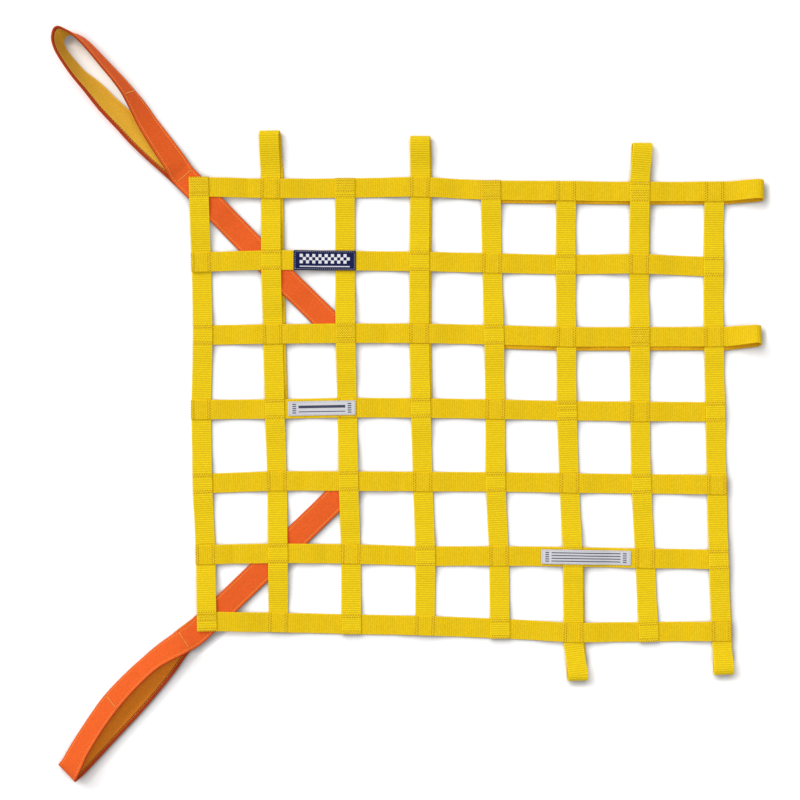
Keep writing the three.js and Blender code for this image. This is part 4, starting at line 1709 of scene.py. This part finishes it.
class BuildReleaseStraps(bpy.types.Operator):
    """Makes the two release straps: webbing inside, cover outside, and the cover's stitches."""

    bl_idname = "window_net.build_release_straps"
    bl_label = "Release straps"

    def execute(self, context):
        sizes, colours = context.scene.net_sizes, context.scene.net_colours
        # The hem colour is painted shade on the cover's inner face.
        cover_cloth = cloth_material("release_cover", colours.cover, COVER_CLOTH | {"inner": colours.hem})
        seam_thread = thread_material("cover_thread", COVER_THREAD_COLOUR)
        bar_thread = thread_material("bar_thread", BAR_THREAD_COLOUR)
        for release in lay_out()[2]:
            side = release["side"]
            # The lower loop's webbing colour carries painted shade and painted orange bounce light.
            base = colours.core_upper if side == "upper" else colours.core_lower_shaded
            core_cloth = cloth_material(f"release_webbing_{side}", base, CORE_CLOTH)
            path = release_path(release, RELEASE_STEP)
            webbing_piece = webbing(
                f"release_core_{side}",
                path,
                CORE_PROFILE,
                thick=RELEASE_WEBBING_THICK,
                middle=CORE_MIDDLE,
                rib_pitch=1.1,
                rib_height=0.0,
                seed=3.3,
            )
            corner = path.distance(0, release["run"].marks[-2])
            bar_places = [corner + bar for bar in release["bars"]]
            sewing, barring = sew_cover(release, path, bar_places, sizes)
            thread_piece(sewing, seam_thread)
            thread_piece(barring, bar_thread)
            cover_piece = webbing(
                f"release_cloth_{side}",
                path,
                COVER_PROFILE,
                thick=RELEASE_COVER_THICK,
                middle=COVER_MIDDLE,
                rib_pitch=sizes.stitch_pitch / MM,
                rib_height=0.05,
                seed=6.1,
                presses=[(place, 1, COVER_PRESS_DEPTH, COVER_PRESS_WIDTH) for place in bar_places],
            )
            webbing_node, cover_node = f"release_webbing_{side}", f"release_cover_{side}"
            settle_piece(webbing_piece, core_cloth, webbing_node, "release_webbing")
            settle_piece(cover_piece, cover_cloth, cover_node, "release_cover")
        return {"FINISHED"}


def label_piece(label, path):
    """A label's cloth.

    Its profile is narrower at its ends by a falling exponential, and rises from them in a straight line
    to its full thickness."""
    across, height, _ = profile_arrays(LABEL_PROFILE)
    ends = np.minimum(path.s, path.length - path.s)[:, None]
    tuck = 1 - LABEL_END_TUCK["share"] * np.exp(-ends / LABEL_END_TUCK["length"])
    rise = np.minimum(1.0, LABEL_END_DROP["height"] + ends / LABEL_END_DROP["length"])
    wide = across * label["width"] / 2 * tuck ** LABEL_END_TUCK["power"]
    return sweep(f"{label['node']}_cloth", path, wide, height * (LABEL_THICK / 2) * rise)


def sew_label(seams, label, path):
    """Adds a label's stitches: a row along each edge and one across each end."""
    edge, half_thick = label["width"] / 2 * LABEL_EDGE_SHARE, LABEL_THICK / 2
    for place in (-edge, edge):
        end = path.length - LABEL_EDGE_ROW_END
        seams.straight(path, LABEL_END_ROW, end, place, half_thick * LABEL_EDGE_HEIGHT, LABEL_STITCH)
    for place in (LABEL_END_ROW, path.length - LABEL_END_ROW):
        seams.bar(path, place, half_thick * LABEL_END_HEIGHT, edge, LABEL_STITCH)


class BuildLabels(bpy.types.Operator):
    """Makes the woven labels and the stitches round their borders."""

    bl_idname = "window_net.build_labels"
    bl_label = "Labels"

    def execute(self, context):
        sizes, colours = context.scene.net_sizes, context.scene.net_colours
        seams = Seams()
        for label in lay_out()[3]:
            path = Path([label["run"].sections()], LABEL_STEP)
            piece = label_piece(label, path)
            name, kind, under = label["node"], label["kind"], f"level_strap_{label['level']}"
            if kind == "dark":
                base, mark, slot = colours.dark_label, DARK_LABEL_MARK, "dark_label"
            else:
                base, mark, slot = colours.pale_label, colours.pale_mark, "pale_label"
            length, half = path.length * MM, label["width"] / 2 * MM
            material = label_material(f"{name}_weave", base, mark, length, half, kind)
            settle_piece(piece, material, name, slot)
            sew_label(seams, label, path)
        radius = sizes.thread_radius / MM * LABEL_THREAD_SHARE
        sewing = seams.build("label_stitches", radius, LABEL_ARCH)
        thread_piece(sewing, thread_material("label_thread", LABEL_THREAD_COLOUR))
        return {"FINISHED"}


def area_light(context, name, place, size, power):
    """Square area light that faces the middle of the net."""
    lamp = bpy.data.lights.new(name, "AREA")
    lamp.energy = power
    lamp.size = size
    light = bpy.data.objects.new(name, lamp)
    light.location = place
    level = math.hypot(place[0], place[1])
    light.rotation_euler = (math.atan2(level, place[2]), 0, math.atan2(-place[1], -place[0]) - math.pi / 2)
    context.scene.collection.objects.link(light)


class BuildStage(bpy.types.Operator):
    """Makes the floor, the soft light and the camera straight above the net."""

    bl_idname = "window_net.build_stage"
    bl_label = "Stage"

    def execute(self, context):
        settings = context.scene.stage_settings
        corners = np.array([[-1, -1, 0], [1, -1, 0], [1, 1, 0], [-1, 1, 0]]) * FLOOR_HALF
        corners[:, 2] = -FLOOR_DROP
        floor = make_mesh("studio_floor", corners, [np.array([[0, 1, 2, 3]])])
        floor.data.materials.append(floor_material(settings.floor))
        floor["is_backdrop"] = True
        world = bpy.data.worlds.new("studio")
        world.use_nodes = True
        background = world.node_tree.nodes["Background"]
        background.inputs["Color"].default_value = (1.0, 1.0, 1.0, 1.0)
        background.inputs["Strength"].default_value = settings.sky
        context.scene.world = world
        area_light(context, "main_light", power=settings.key, **MAIN_LIGHT)
        area_light(context, "ceiling_light", power=settings.ceiling, **CEILING_LIGHT)
        lens = bpy.data.cameras.new("camera")
        lens.lens = settings.lens
        lens.sensor_width = SENSOR_WIDTH
        camera = bpy.data.objects.new("camera", lens)
        camera.location = (*VIEW_MIDDLE, settings.view_width * settings.lens / SENSOR_WIDTH)
        context.scene.collection.objects.link(camera)
        context.scene.camera = camera
        context.scene.view_settings.view_transform = "Standard"
        return {"FINISHED"}


class WindowNetPanel(bpy.types.Panel):
    """Sizes, colours and steps of the window net."""

    bl_label = "Window net"
    bl_idname = "VIEW3D_PT_window_net"
    bl_space_type = "VIEW_3D"
    bl_region_type = "UI"
    bl_category = "Window net"

    def draw(self, context):
        for group in (context.scene.net_sizes, context.scene.net_colours, context.scene.stage_settings):
            box = self.layout.box()
            for name in group.__annotations__:
                box.prop(group, name)
        for operator in OPERATORS:
            self.layout.operator(operator.bl_idname)


OPERATORS = (BuildUprights, BuildLevels, SewCrossings, BuildReleaseStraps, BuildLabels, BuildStage)
CLASSES = (NetSizes, NetColours, StageSettings, *OPERATORS, WindowNetPanel)


def register():
    """Registers the classes and puts the settings on the scene."""
    for made in CLASSES:
        bpy.utils.register_class(made)
    bpy.types.Scene.net_sizes = bpy.props.PointerProperty(type=NetSizes)
    bpy.types.Scene.net_colours = bpy.props.PointerProperty(type=NetColours)
    bpy.types.Scene.stage_settings = bpy.props.PointerProperty(type=StageSettings)


def unregister():
    """Takes the settings off the scene and unregisters the classes."""
    del bpy.types.Scene.net_sizes
    del bpy.types.Scene.net_colours
    del bpy.types.Scene.stage_settings
    for made in reversed(CLASSES):
        bpy.utils.unregister_class(made)


def main():
    """Builds the net and its stage."""
    register()
    bpy.ops.window_net.build_uprights()
    bpy.ops.window_net.build_levels()
    bpy.ops.window_net.sew_crossings()
    bpy.ops.window_net.build_release_straps()
    bpy.ops.window_net.build_labels()
    bpy.ops.window_net.build_stage()
    boxes = {"cad": CAD_BOX, "visual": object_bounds()}
    plain = {name: [list(low), list(high)] for name, (low, high) in boxes.items()}


if __name__ == "__main__":
    main()
